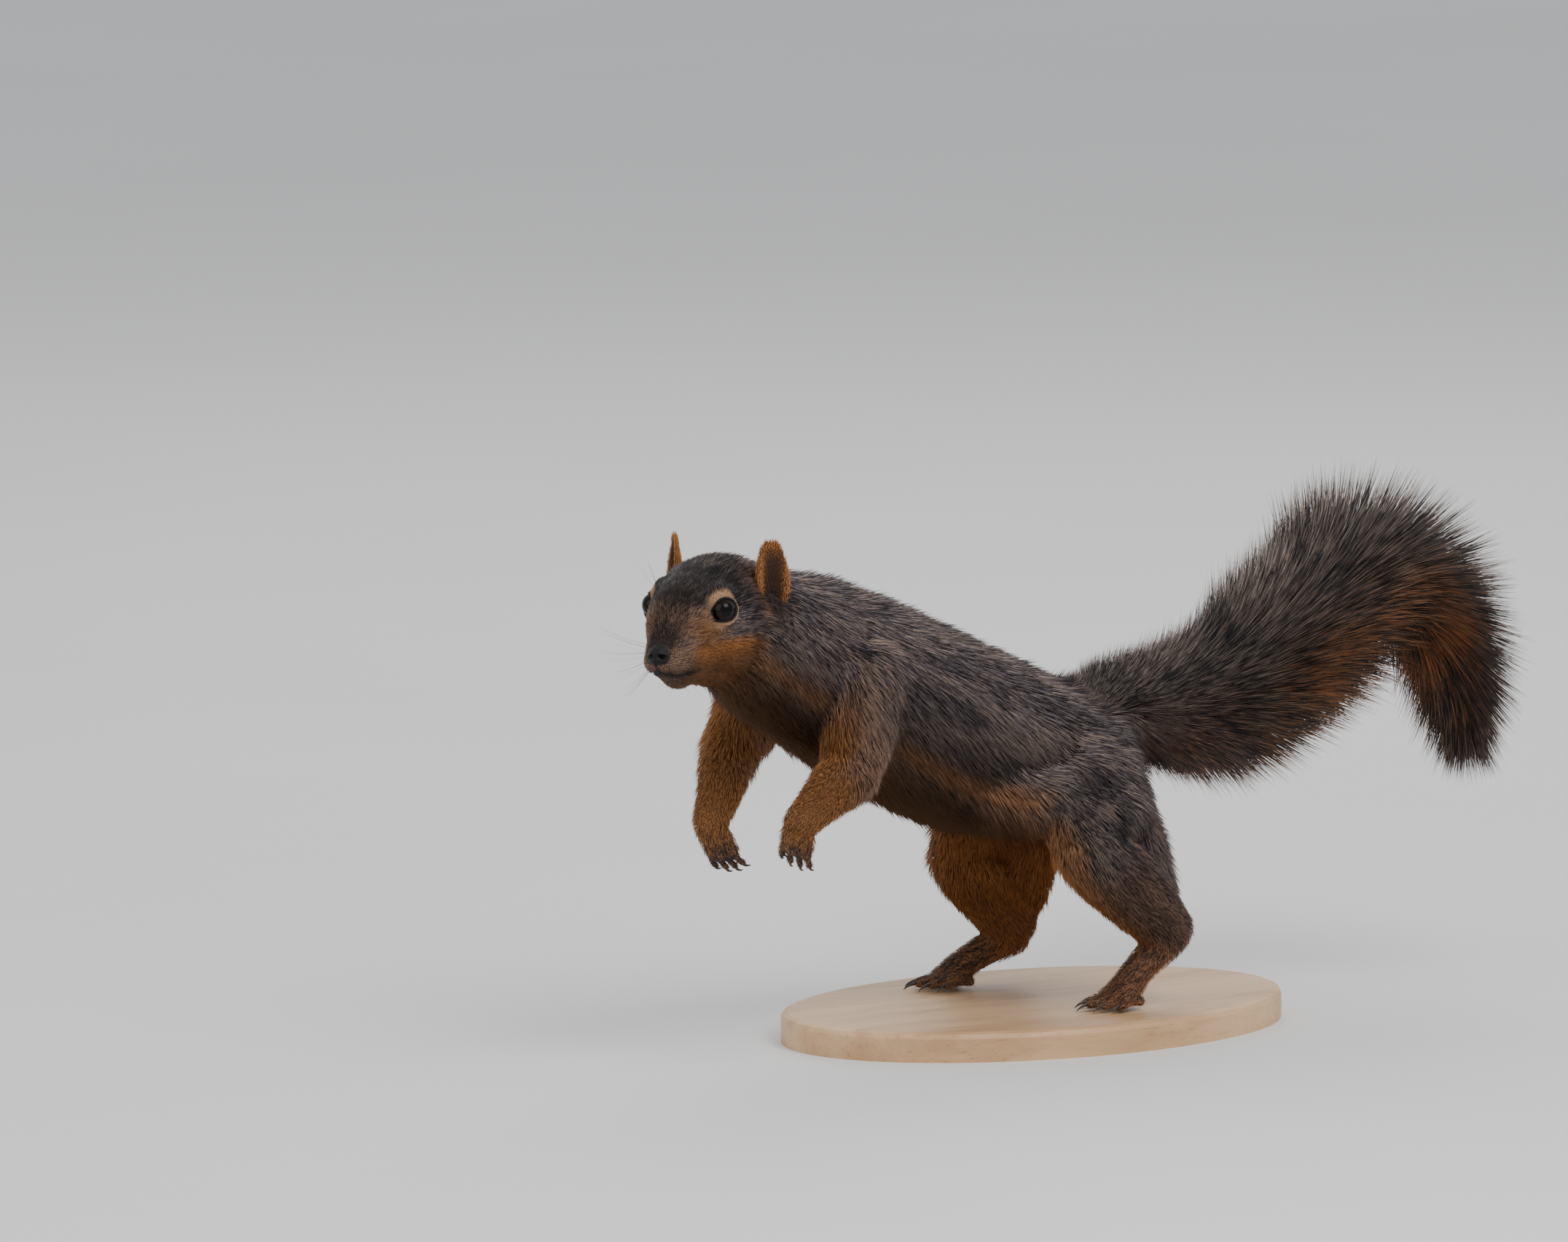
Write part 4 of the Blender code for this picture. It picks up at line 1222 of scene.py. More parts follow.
class Markings:
    """The patterns of the coat's colours and of its painted shade, from 0 to 1 at each point of the skin."""

    def __init__(self, ground: Ground, trunk: Trunk, head: Head) -> None:
        """Works out the patches that several markings share.

        Args:
            ground: What the skin's fields are worked out from.
            trunk: The trunk, for how high a place lies on it.
            head: The head, for its mouth and the hollows before its ears.
        """
        self.ground, self.head, self.parts, self.normals = ground, head, ground.parts, ground.normals
        self.height = trunk.height(ground.places)
        self.belly = 1 - ramp(-1.0, -0.42, self.height)
        self.x, self.y, self.z = np.abs(ground.local[:, 0]), ground.local[:, 1], ground.local[:, 2]
        self.outward = self.normals[:, 0] * np.sign(ground.places[:, 0])
        self.inner = 1 - ramp(-0.35, 0.35, self.outward)
        self.front = ramp(0.35, 0.85, -self.normals[:, 1] - 0.25 * self.normals[:, 2])
        self.flank_line = np.exp(-(((self.height + 0.50) / 0.13) ** 2)) * self.parts[Part.TRUNK]
        before_eye = np.exp(-(((self.y - 10) / 9) ** 2) - (((self.z + 5.5) / 8) ** 2))
        self.tear = before_eye * ramp(4.0, 8.5, self.x)
        self.bridge = ramp(4, 10, self.y) * ramp(-12, -8, self.z) * (1 - ramp(5, 9, self.x))
        self.snout = (1 - ramp(3.5, 7.5, self.x)) * ramp(15, 23, self.y)

    def rufous(self) -> Rows:
        """How rufous the coat is off the ears: cheeks, belly, flank line and limbs."""
        parts, y, z = self.parts, self.y, self.z
        cheek = (1 - ramp(-15.0, -9.5, z - 0.12 * (y + 5))) * (1 - 0.65 * ramp(11, 21, y))
        edge = self.head.ear_pit(self.ground.places, 8.5) - self.head.ear_pit(self.ground.places, 5.5)
        face = np.maximum.reduce([cheek * 0.95, 0.65 * self.tear, 2.4 * edge])
        body = np.maximum(self.belly, 0.6 * self.flank_line)
        made = parts[Part.HEAD] * face + parts[Part.TRUNK] * body
        made += parts[Part.FOREARM] * 0.86 + (parts[Part.HAND] + parts[Part.FOOT]) * 0.62
        fore = ramp(-0.3, 0.6, -self.normals[:, 1] - 0.5 * self.outward)
        made += parts[Part.ARM] * (0.25 + 0.65 * fore)
        made += parts[Part.THIGH] * np.maximum(0.9 * self.inner, 0.55 * self.front)
        made += parts[Part.SHANK] * np.clip(0.30 + 0.6 * self.inner + 0.35 * self.front, 0, 0.92)
        made += parts[Part.HEAD] * 0.30 * self.bridge
        return made

    def dark(self) -> Rows:
        """How black the coat is off the ears: crown, bridge, lips, back, hands and feet, with painted shade
        on the outer thigh.
        """
        parts, y, z = self.parts, self.y, self.z
        top = ramp(-7.0, 6.0, z - 0.25 * (y - 5)) * ramp(-44, -20, y)
        lips = np.exp(-((self.head.mouth_distance(self.ground.places) / 1.7) ** 2))
        face = np.maximum(0.58 * top, 0.26 * self.bridge) + 0.22 * self.snout + 0.65 * lips
        made = parts[Part.HEAD] * np.clip(face, 0, 0.9)
        # The back's black is the coat's own; the outer thigh's is painted shade.
        made += (parts[Part.TRUNK] * 0.22 * ramp(0.5, 0.95, self.height)
                 + parts[Part.THIGH] * 0.12 * ramp(-0.2, 0.4, self.outward))
        upward = ramp(-0.2, 0.5, self.normals[:, 2] + 0.5 * np.abs(self.normals[:, 0]))
        made += parts[Part.HAND] * 0.42 + parts[Part.FOOT] * 0.38 * upward
        made += parts[Part.SHANK] * 0.30 * (1 - self.inner) * (1 - 0.6 * self.front)
        return made

    def shade(self, rufous: Rows) -> Rows:
        """How far the coat turns dark brown off the ears: painted shade on the underside, belly, chin and
        thigh, and the snout's own dark brown, with more brown on the forearms, shanks and upper arms.
        """
        parts, head, trunk = self.parts, self.parts[Part.HEAD], self.parts[Part.TRUNK]
        # Painted shade: surfaces that face down, the chin among them, are darkened.
        chin = 1 - ramp(-22, -10, self.z)
        under = (1 - ramp(-0.55, 0.25, self.normals[:, 2])) * (trunk + 0.6 * head * chin)
        snout = head * (0.5 * self.bridge + 0.25 * self.snout + 0.3 * self.tear)
        # Painted shade on the belly; the snout's dark brown above is the coat's own colour.
        under = np.maximum.reduce([under, 0.85 * self.belly * trunk, snout])
        # Painted shade on the thigh; the forearms, shanks and rufous upper arms are turned dark brown as
        # well.
        limbs = 0.30 * parts[Part.THIGH] + 0.32 * (parts[Part.FOREARM] + parts[Part.SHANK])
        limbs = limbs + 0.25 * parts[Part.ARM] * ramp(0.2, 0.7, rufous)
        return np.clip(under * (1 - 0.6 * self.flank_line) + limbs, 0, 1) * 0.86

    def pale(self) -> Rows:
        """How pale the coat is: the eye rings and the patch before each ear."""
        x, y, z, ring, head = self.x, self.y, self.z, self.ground.ring, self.parts[Part.HEAD]
        eyelid = ramp(0.45, 0.8, ring) * (1 - ramp(2.7, 4.0, ring))
        eyelid = eyelid * (1 - 0.6 * ramp(4, 7, y))
        ringed = head * eyelid * (0.70 + 0.25 * (1 - ramp(-6, -2, z)) + 0.2 * ramp(3, 6, z))
        patch = np.exp(-(((y + 20) / 6) ** 2) - (((z + 7) / 6) ** 2)) * ramp(12, 18, x)
        return np.maximum(ringed, head * patch * 0.30)

    def store_on(self, mesh: Mesh) -> None:
        """Stores the markings and the painted shade on the skin, evened out."""
        ground, off_tail = self.ground, 1 - self.ground.brush
        on_ear = ground.ear > 0.5
        rufous = self.rufous()
        # On the ears, painted shade darkens their hollows and the hollows before their roots, where the
        # black is taken out.
        shade = np.maximum(np.where(on_ear, 0.10, self.shade(rufous)), ground.hollow_shade * 0.95)
        rufous = np.where(on_ear, 0.70 + 0.25 * ground.ear_rim, rufous)
        dark = np.where(on_ear, 0.10, self.dark() * (1 - ground.hollow_shade))
        store(mesh, "shade", spread(mesh, shade * off_tail, 3))
        for name, values in (("rufous", rufous), ("dark", dark), ("pale", self.pale())):
            store(mesh, name, spread(mesh, np.clip(values * off_tail, 0, 1), 2))


# ---- The skin


@dataclass
class Skin:
    """The one skin over the whole body, under the coat."""

    stance: Stance
    trunk: Trunk
    tail: Tail
    head: Head
    limbs: Limbs
    voxel: float = 0.68 * MM
    body_rounds: int = 90
    head_rounds: int = 26
    paw_rounds: int = 5
    kept_share: float = 0.215
    thinning: float = 8.0
    splits: tuple[tuple[float, float], ...] = ((11.0, 13.0), (8.0, 7.5))  # millimetres from an eye, the nose

    def forms(self) -> list[Mesh]:
        """All the overlapping forms of the flesh."""
        made = [*self.head.forms(), self.trunk.mesh(), self.tail.core()]
        for side in Side:
            made += self.limbs.forms(side)
        return made

    def regions(self, places: Rows) -> tuple[Rows, Rows]:
        """How much places belong to the head and to the paws."""
        local = self.stance.head_coordinates(places)
        throat = (1 - ramp(-22, -14, local[:, 2])) * (1 - ramp(4, 12, local[:, 1]))
        head = ramp(-40, -26, local[:, 1]) * (np.linalg.norm(local, axis=1) < 60) * (1 - throat)
        paws = np.zeros(len(places))
        for side in Side:
            for centre, reach in ((self.stance.knuckle[side], 15), (self.stance.ball[side], 21)):
                away = np.linalg.norm(places - np.array(centre), axis=1) / MM
                paws = np.maximum(paws, 1 - ramp(reach - 5, reach + 3, away))
        return head, paws

    def remeshed(self) -> Mesh:
        """One closed surface round all the forms, evened out and thinned away from the face and paws."""
        obj = add_object("flesh", joined("flesh", self.forms()))
        remesh = obj.modifiers.new("one_skin", "REMESH")
        remesh.mode, remesh.voxel_size = "VOXEL", self.voxel
        mesh = evaluated(obj)
        rough, normals = points_of(mesh), normals_of(mesh)
        head, paws = self.regions(rough)
        fine = spread(mesh, rough, self.paw_rounds)
        even = spread(mesh, fine, self.head_rounds)
        soft = spread(mesh, even, self.body_rounds)
        lost = np.maximum(np.einsum("ij,ij->i", fine - soft, normals), 0)
        soft += normals * spread(mesh, lost, self.body_rounds // 2)[:, None] * 1.1
        lost = np.maximum(np.einsum("ij,ij->i", fine - even, normals), 0)
        even += normals * spread(mesh, lost, self.head_rounds)[:, None]
        places = soft * (1 - head)[:, None] + even * head[:, None]
        places = places * (1 - paws)[:, None] + fine * paws[:, None]
        move_points(mesh, places)
        obj = add_object("thinned", mesh)
        group = obj.vertex_groups.new(name="thin")
        keep = np.maximum(head, paws)
        for level in (0.0, 0.5, 1.0):
            picked = np.nonzero(np.abs(keep - level) <= 0.25)[0]
            if len(picked):
                group.add(picked.tolist(), 1.0 - level * 0.97, "REPLACE")
        thin = obj.modifiers.new("thin", "DECIMATE")
        thin.ratio, thin.vertex_group, thin.vertex_group_factor = self.kept_share, "thin", self.thinning
        return evaluated(obj)

    def divide(self, mesh: Mesh) -> None:
        """Splits a mesh's triangles in four round the eyes and the nose."""
        for reach in self.splits:
            body = bmesh.new()
            body.from_mesh(mesh)
            body.verts.ensure_lookup_table()
            picked = self.head.near(np.array([v.co for v in body.verts]), *reach)
            edges = [e for e in body.edges if picked[e.verts[0].index] and picked[e.verts[1].index]]
            bmesh.ops.subdivide_edges(body, edges=edges, cuts=1, use_grid_fill=True)
            bmesh.ops.triangulate(body, faces=[f for f in body.faces if len(f.verts) > 4])
            body.to_mesh(mesh)
            body.free()
            places = points_of(mesh)
            picked = self.head.near(places, *reach)[:, None]
            move_points(mesh, np.where(picked, spread(mesh, places, 2), places))

    def build(self) -> tuple[Mesh, dict[Side, Rows]]:
        """The finished skin.

        Returns:
            The mesh, and the points of each ear as a mask.
        """
        mesh = self.remeshed()
        self.divide(mesh)
        move_points(mesh, self.head.shape_eyes(points_of(mesh)))
        places = self.head.shape_muzzle(points_of(mesh), normals_of(mesh))
        places[:, 2] = np.maximum(places[:, 2], 0.0)
        move_points(mesh, places)
        ears = {side: Ear(self.stance, side).mesh() for side in Side}
        start = len(mesh.vertices)
        whole = joined("skin", [mesh, *ears.values()])
        order = np.arange(len(whole.vertices))
        masks: dict[Side, Rows] = {}
        for side, ear in ears.items():
            end = start + len(ear.vertices)
            masks[side] = (order >= start) & (order < end)
            start = end
        whole.shade_smooth()
        return whole, masks

    @staticmethod
    def unwrap(obj: bpy.types.Object, name: str) -> None:
        """Unwraps an object's own shape into a named map."""
        obj.data.uv_layers.new(name=name)
        bpy.context.view_layer.objects.active = obj
        obj.select_set(True)
        bpy.ops.object.mode_set(mode="EDIT")
        bpy.ops.mesh.select_all(action="SELECT")
        bpy.ops.uv.smart_project(angle_limit=math.radians(66), island_margin=0.002)
        bpy.ops.object.mode_set(mode="OBJECT")
        obj.select_set(False)


# ---- The coat


@dataclass(frozen=True)
class Tuft:
    """A thin closed spindle of a few hairs, one unit long on Y, rising on Z."""

    rings: tuple[tuple[float, float], ...] = ((0.34, 1.0),)  # the place along it, the share of its width
    rise: float = 0.40  # this and the next two are shares of its length
    thickness: float = 0.030
    rooted: float = 0.02

    def object(self) -> bpy.types.Object:
        """The spindle as an object, with its place along it and its own small map."""
        def lift(t: float) -> float:
            """How high the spindle runs at a place along it."""
            return self.rise * (1 - (1 - t) ** 2) - self.rooted

        points: list[tuple[float, float, float]] = [(0.0, 0.0, lift(0.0))]
        for t, width in self.rings:
            z, h = lift(t), self.thickness * width
            points += [(-width, t, z - h * 0.5), (width, t, z - h * 0.5), (0.0, t, z + h)]
        points.append((0.0, 1.0, lift(1.0)))
        tip = len(points) - 1
        faces: list[tuple[int, ...]] = [(0, 1 + k, 1 + (k + 1) % 3) for k in range(3)]
        for ring in range(len(self.rings) - 1):
            a = 1 + 3 * ring
            faces += [(a + k, a + 3 + k, a + 3 + (k + 1) % 3, a + (k + 1) % 3) for k in range(3)]
        a = tip - 3
        faces += [(a + k, tip, a + (k + 1) % 3) for k in range(3)]
        mesh = mesh_from("tuft", points, faces)
        store(mesh, "along", np.array([p[1] for p in points]))
        own = mesh.uv_layers.new(name="tuft_uv")
        across = [0.5] + [0.0, 1.0, 0.5] * len(self.rings) + [0.5]
        for loop in mesh.loops:
            k = loop.vertex_index
            own.data[loop.index].uv = (across[k], points[k][1])
        mesh.shade_smooth()
        return add_object("tuft", mesh)


@dataclass(frozen=True)
class Pelage:
    """One kind of fur: where it grows, how thick it stands and what its tufts are like."""

    name: str
    where: str
    pieces: int
    tufts: int  # in each piece, about
    width: float  # half a tuft's, in millimetres
    spread: float  # how far a tuft strays from the lie
    lock: float  # how far neighbouring tufts stray together
    lock_size: float  # locks in a metre
    shortest: float  # shares of the full length
    longest: float
    tuft: Tuft
    slot: str


class TuftTree:
    """A Geometry Nodes tree that plants tufts over a skin along the lie of the coat."""

    patch: float = 0.003  # a tuft's share of the map's width
    inputs: tuple[tuple[str, str], ...] = (
        ("Tuft", "Object"), ("Where", "String"), ("Seed", "Int"), ("Density", "Float"), ("Width", "Float"),
        ("Spread", "Float"), ("Lock", "Float"), ("Lock Size", "Float"), ("Shortest", "Float"),
        ("Longest", "Float"), ("Finish", "Material"),
    )

    def __init__(self, scattered: bool = True) -> None:
        """Builds the tree.

        Args:
            scattered: Whether tufts are scattered over faces; if not, each point grows one.
        """
        self.tree = bpy.data.node_groups.new("tufts", "GeometryNodeTree")
        face = self.tree.interface
        face.new_socket("Geometry", in_out="INPUT", socket_type="NodeSocketGeometry")
        self.keys = {
            name: face.new_socket(name, in_out="INPUT", socket_type=f"NodeSocket{kind}").identifier
            for name, kind in self.inputs
        }
        face.new_socket("Geometry", in_out="OUTPUT", socket_type="NodeSocketGeometry")
        self.given = self.node("NodeGroupInput").outputs
        points, normal = self.strewn() if scattered else self.each_point()
        points = self.stored(points, "FLOAT", "POINT", "strand", self.random((0.0, 1.0), 3))
        points = self.stored(points, "FLOAT_VECTOR", "POINT", "root",
                             self.node("GeometryNodeInputPosition").outputs[0])
        whole = self.node("GeometryNodeRealizeInstances", {}, {"Geometry": self.grown(points, normal)})
        spot = self.vector("SUBTRACT", self.named("FLOAT_VECTOR", "tuft_uv"), (0.5, 0.5, 0.0))
        spot = self.vector("SCALE", spot, scale=self.patch)
        spot = self.vector("ADD", self.named("FLOAT_VECTOR", "skin_uv"), spot)
        mapped = self.stored(whole.outputs[0], "FLOAT2", "CORNER", "OFBake", spot)
        dressed = self.node("GeometryNodeSetMaterial", {},
                            {"Geometry": mapped, "Material": self.given["Finish"]})
        self.node("NodeGroupOutput", {}, {"Geometry": dressed.outputs[0]})

    def strewn(self) -> tuple[Plug, Plug]:
        """Points scattered over the skin where the fur grows, and their normals."""
        where = self.named("FLOAT", self.given["Where"])
        share = self.maths("MULTIPLY", self.named("FLOAT", "density"), where)
        made = self.node("GeometryNodeDistributePointsOnFaces", {"distribute_method": "RANDOM"}, {
            "Mesh": self.given["Geometry"], "Seed": self.given["Seed"],
            "Density": self.maths("MULTIPLY", share, self.given["Density"])})
        return made.outputs["Points"], made.outputs["Normal"]

    def each_point(self) -> tuple[Plug, Plug]:
        """The mesh's own points, and the ways out that are stored on them."""
        made = self.node("GeometryNodeMeshToPoints", {}, {"Mesh": self.given["Geometry"]})
        return made.outputs[0], self.named("FLOAT_VECTOR", "outward")

    def node(self, kind: str, settings: dict[str, Any] | None = None,
             values: dict[str | int, Any] | None = None) -> bpy.types.Node:
        """Adds a node with its settings and its inputs' values or links."""
        made = self.tree.nodes.new(kind)
        for key, value in (settings or {}).items():
            setattr(made, key, value)
        for key, value in (values or {}).items():
            if isinstance(value, Plug):
                self.tree.links.new(value, made.inputs[key])
            else:
                made.inputs[key].default_value = value
        return made

    def named(self, kind: str, name: Any) -> Plug:
        """A stored value."""
        return self.node("GeometryNodeInputNamedAttribute", {"data_type": kind}, {"Name": name}).outputs[0]

    def maths(self, operation: str, first: Any, second: Any) -> Plug:
        """A sum of two numbers."""
        return self.node("ShaderNodeMath", {"operation": operation}, {0: first, 1: second}).outputs[0]

    def vector(self, operation: str, first: Any, second: Any = None,
               scale: Any = None) -> Plug:
        """A sum of vectors, or a vector scaled."""
        pairs = ((0, first), (1, second), ("Scale", scale))
        values = {key: value for key, value in pairs if value is not None}
        return self.node("ShaderNodeVectorMath", {"operation": operation}, values).outputs[0]

    def random(self, span: tuple[Any, Any], salt: int, kind: str = "FLOAT") -> Plug:
        """A random number or vector for each point."""
        seed = self.maths("ADD", self.given["Seed"], float(salt * 97))
        made = self.node("FunctionNodeRandomValue", {"data_type": kind}, {"Seed": seed})
        enabled = [s for s in made.inputs if s.enabled and s.name in ("Min", "Max")]
        for socket, value in zip(enabled, span):
            if isinstance(value, Plug):
                self.tree.links.new(value, socket)
            else:
                socket.default_value = value
        return next(s for s in made.outputs if s.enabled)

    def stored(self, geometry: Any, kind: str, domain: str, name: str, value: Any) -> Plug:
        """Stores a value under a name."""
        return self.node("GeometryNodeStoreNamedAttribute", {"data_type": kind, "domain": domain},
                         {"Geometry": geometry, "Name": name, "Value": value}).outputs[0]

    def grown(self, points: Any, normal: Any) -> Plug:
        """Tufts on points, turned along the lie and sized."""
        given = self.given
        stray = self.vector("SCALE", self.random(((-1, -1, -1), (1, 1, 1)), 5, "FLOAT_VECTOR"),
                            scale=given["Spread"])
        waves = self.node("ShaderNodeTexNoise", {}, {"Scale": given["Lock Size"], "Detail": 1.0})
        waves = self.vector("SUBTRACT", waves.outputs["Color"], (0.5, 0.5, 0.5))
        waves = self.vector("SCALE", waves, scale=given["Lock"])
        way = self.vector("ADD", self.vector("ADD", self.named("FLOAT_VECTOR", "lie"), stray), waves)
        turn = self.node("FunctionNodeAxesToRotation", {"primary_axis": "Y", "secondary_axis": "Z"},
                         {"Primary Axis": way, "Secondary Axis": normal}).outputs[0]
        long = self.maths("MULTIPLY", self.named("FLOAT", "length"),
                          self.random((given["Shortest"], given["Longest"]), 7))
        wide = self.maths("MULTIPLY", given["Width"], self.random((0.7, 1.25), 9))
        size = self.node("ShaderNodeCombineXYZ", {}, {0: wide, 1: long, 2: long}).outputs[0]
        form = self.node("GeometryNodeObjectInfo", {}, {0: given["Tuft"]}).outputs["Geometry"]
        return self.node("GeometryNodeInstanceOnPoints", {},
                         {"Points": points, "Instance": form, "Rotation": turn, "Scale": size}).outputs[0]

    def grow(self, skin: Mesh, name: str, values: dict[str, Any]) -> Mesh:
        """Plants tufts over a skin.

        Args:
            skin: The skin, with the coat's fields stored on it.
            name: The name of the mesh.
            values: The tree's inputs by name.

        Returns:
            The tufts as one plain mesh.
        """
        obj = add_object(name, skin)
        tufts = obj.modifiers.new("tufts", "NODES")
        tufts.node_group = self.tree
        for key, value in values.items():
            tufts[self.keys[key]] = value
        mesh = evaluated(obj)
        mesh.name = name
        return mesh


def srgb(red: int, green: int, blue: int) -> Triple:
    """A colour given as it is seen, from 0 to 255, as linear light."""
    def linear(c: float) -> float:
        """One channel as linear light."""
        return c / 12.92 if c <= 0.04045 else ((c + 0.055) / 1.055) ** 2.4

    return linear(red / 255), linear(green / 255), linear(blue / 255)


@dataclass(frozen=True)
class CoatColours:
    """The colours of the hairs."""

    # The dark base of the hairs; hide() also paints shade between the tufts with it.
    under: Triple = srgb(44, 35, 32)
    band: Triple = srgb(160, 140, 127)
    grey: Triple = srgb(113, 103, 107)
    black: Triple = srgb(22, 18, 19)
    rust: Triple = srgb(188, 126, 68)
    rust_deep: Triple = srgb(88, 50, 26)
    # Painted shade on the underside, belly, chin, thigh and ear hollows, and the snout's own dark brown.
    brown_and_painted_shade: Triple = srgb(40, 28, 16)
    buff: Triple = srgb(196, 156, 118)
    tail_rust: Triple = srgb(158, 92, 46)
    tail_tips: Triple = srgb(158, 104, 60)
    # The ear's inner skin: its dark brown is partly the bare skin's own colour, partly painted shade in the
    # ear's hollow.
    skin: Triple = srgb(50, 30, 21)
    leather: Triple = srgb(9, 7, 8)
    leather_light: Triple = srgb(24, 19, 19)

    def hair(self, graph: Graph, along: Socket, strand: Socket, place: Socket) -> Socket:
        """The colour of a hair.

        Args:
            graph: The material's graph.
            along: The place along the hair, 0 at its root.
            strand: A random number of the hair's own.
            place: Where the hair grows.

        Returns:
            The colour.
        """
        rufous, dark, pale = (graph.attribute(n) for n in ("rufous", "dark", "pale"))
        patches = graph.noise(place, 60.0, 2.0)
        salt = (strand * 0.62 + graph.attribute("streak") * 0.62 + patches * 0.3 - 0.27).clamped()
        ticking = graph.mix(salt.ramp(0.45, 0.8), self.grey, self.band)
        agouti = graph.mix(along.ramp(0.12, 0.42), self.under, ticking)
        tipped = along.ramp(0.66, 0.88) * (1.0 - salt.ramp(0.5, 0.75))
        agouti = graph.mix(tipped * 0.9, agouti, self.black)
        guard = (1.0 - salt.ramp(0.26, 0.42)) * 0.84
        agouti = graph.mix(guard, agouti, self.black)
        rust = graph.mix(along.ramp(0.1, 0.55), self.rust_deep, self.rust)
        rust = graph.mix((1.0 - salt.ramp(0.2, 0.5)) * 0.55, rust, self.rust_deep)
        rust = graph.mix(strand.ramp(0.8, 0.98) * along.ramp(0.5, 0.9) * 0.5, rust, self.buff)
        share = (rufous * 1.4 + salt * 0.35 - 0.3).clamped()
        colour = graph.mix(share, agouti, rust)
        # Mixes in the dark brown: painted shade on the underside, belly, chin, thigh and ear hollows, the
        # coat's own brown elsewhere.
        colour = graph.mix(graph.attribute("shade"), colour, self.brown_and_painted_shade)
        dusk = (dark * 1.15 - salt * 0.55 + 0.12).ramp(0.0, 0.5) * dark.ramp(0.0, 0.12)
        colour = graph.mix(dusk * 0.92, colour, self.black)
        return graph.mix((pale * 1.1 - strand * 0.1).clamped(), colour, self.buff)

    def brush(self, graph: Graph, along: Socket, strand: Socket, place: Socket, colour: Socket) -> Socket:
        """The colour of the tail's long hair laid over another colour where the tail is.

        Args:
            graph: The material's graph.
            along: The place along the hair, 0 at its root.
            strand: A random number of the hair's own.
            place: Where the hair grows.
            colour: The colour off the tail.

        Returns:
            The colour.
        """
        over, along_tail = graph.attribute("over"), graph.attribute("tail_share")
        bend = along_tail.ramp(0.42, 0.62)
        salt = (strand * 0.7 + graph.attribute("streak") * 0.6 - 0.15).clamped()
        mottle = graph.noise(place, 85.0, 2.5).ramp(0.38, 0.62)
        inner = (1.0 - (over - bend * 0.35).ramp(-0.6, 0.7)) * (0.5 + mottle * 0.5)
        inner = inner * (0.4 + along_tail.ramp(0.10, 0.32) * 0.6) * (1.0 - along_tail.ramp(0.72, 0.92) * 0.8)
        rust = graph.mix(along.ramp(0.04, 0.35), self.rust_deep, self.tail_rust)
        rust = graph.mix((1.0 - salt.ramp(0.15, 0.6)) * 0.6, rust, self.rust_deep)
        dusky = graph.mix(along.ramp(0.1, 0.3), self.under, self.rust_deep)
        start = graph.mix(inner, dusky, rust)
        dark_from = along - inner * (0.14 + bend * 0.08 + mottle * 0.24)
        black = graph.mix(dark_from.ramp(0.30, 0.46), start, self.black)
        tips = graph.mix((inner * 1.4).clamped(), self.band, self.tail_tips)
        tipped = along.ramp(0.72, 0.86) * salt.ramp(0.30, 0.55)
        tail = graph.mix(tipped * 0.85, black, tips)
        return graph.mix(graph.attribute("brush"), colour, tail)

    def coat(self) -> bpy.types.Material:
        """The finish of the tufts."""
        graph = Graph("coat")
        along, strand = graph.attribute("along"), graph.attribute("strand")
        place = graph.attribute("root", "Vector")
        colour = self.brush(graph, along, strand, place, self.hair(graph, along, strand, place))
        shine = 0.46 + strand * 0.2
        return graph.surface(Base_Color=colour, Roughness=shine, Specular_IOR_Level=0.38)

    def hide(self) -> bpy.types.Material:
        """The finish of the skin under the tufts and of its bare places."""
        graph = Graph("skin")
        place = graph.place()
        fine = graph.noise(place, 2600.0, 3.0)
        strand = graph.noise(place, 1400.0, 2.0)
        lie = self.hair(graph, fine.ramp(0.2, 0.9), strand.ramp(0.25, 0.75), place)
        colour = self.brush(graph, fine * 0.45, strand, place, lie)
        # Darkened towards the hairs' dark base: partly the underfur's own colour, partly painted shade in
        # the gaps between the tufts.
        shaded = graph.mix(0.42, colour, self.under)
        inside = graph.attribute("ear_inside")
        # The ear's inner skin: partly its own dark brown, partly painted shade in the ear's hollow.
        shaded = graph.mix(inside * 0.75, shaded, self.skin)
        grain = graph.noise(place, 900.0, 3.0).ramp(0.3, 0.75)
        bare = graph.mix(grain, self.leather, self.leather_light)
        colour = graph.mix(graph.attribute("bare"), shaded, bare)
        nose = graph.attribute("nose")
        pores = graph.node("TexVoronoi", {"feature": "F1"}, {"Vector": place, "Scale": 2300.0})
        height = pores * nose + fine * (1.0 - nose)
        rough = 0.62 - nose * 0.22
        return graph.surface(Base_Color=colour, Roughness=rough, Specular_IOR_Level=0.2,
                             Normal=graph.bump(height, 0.5, 0.0003))


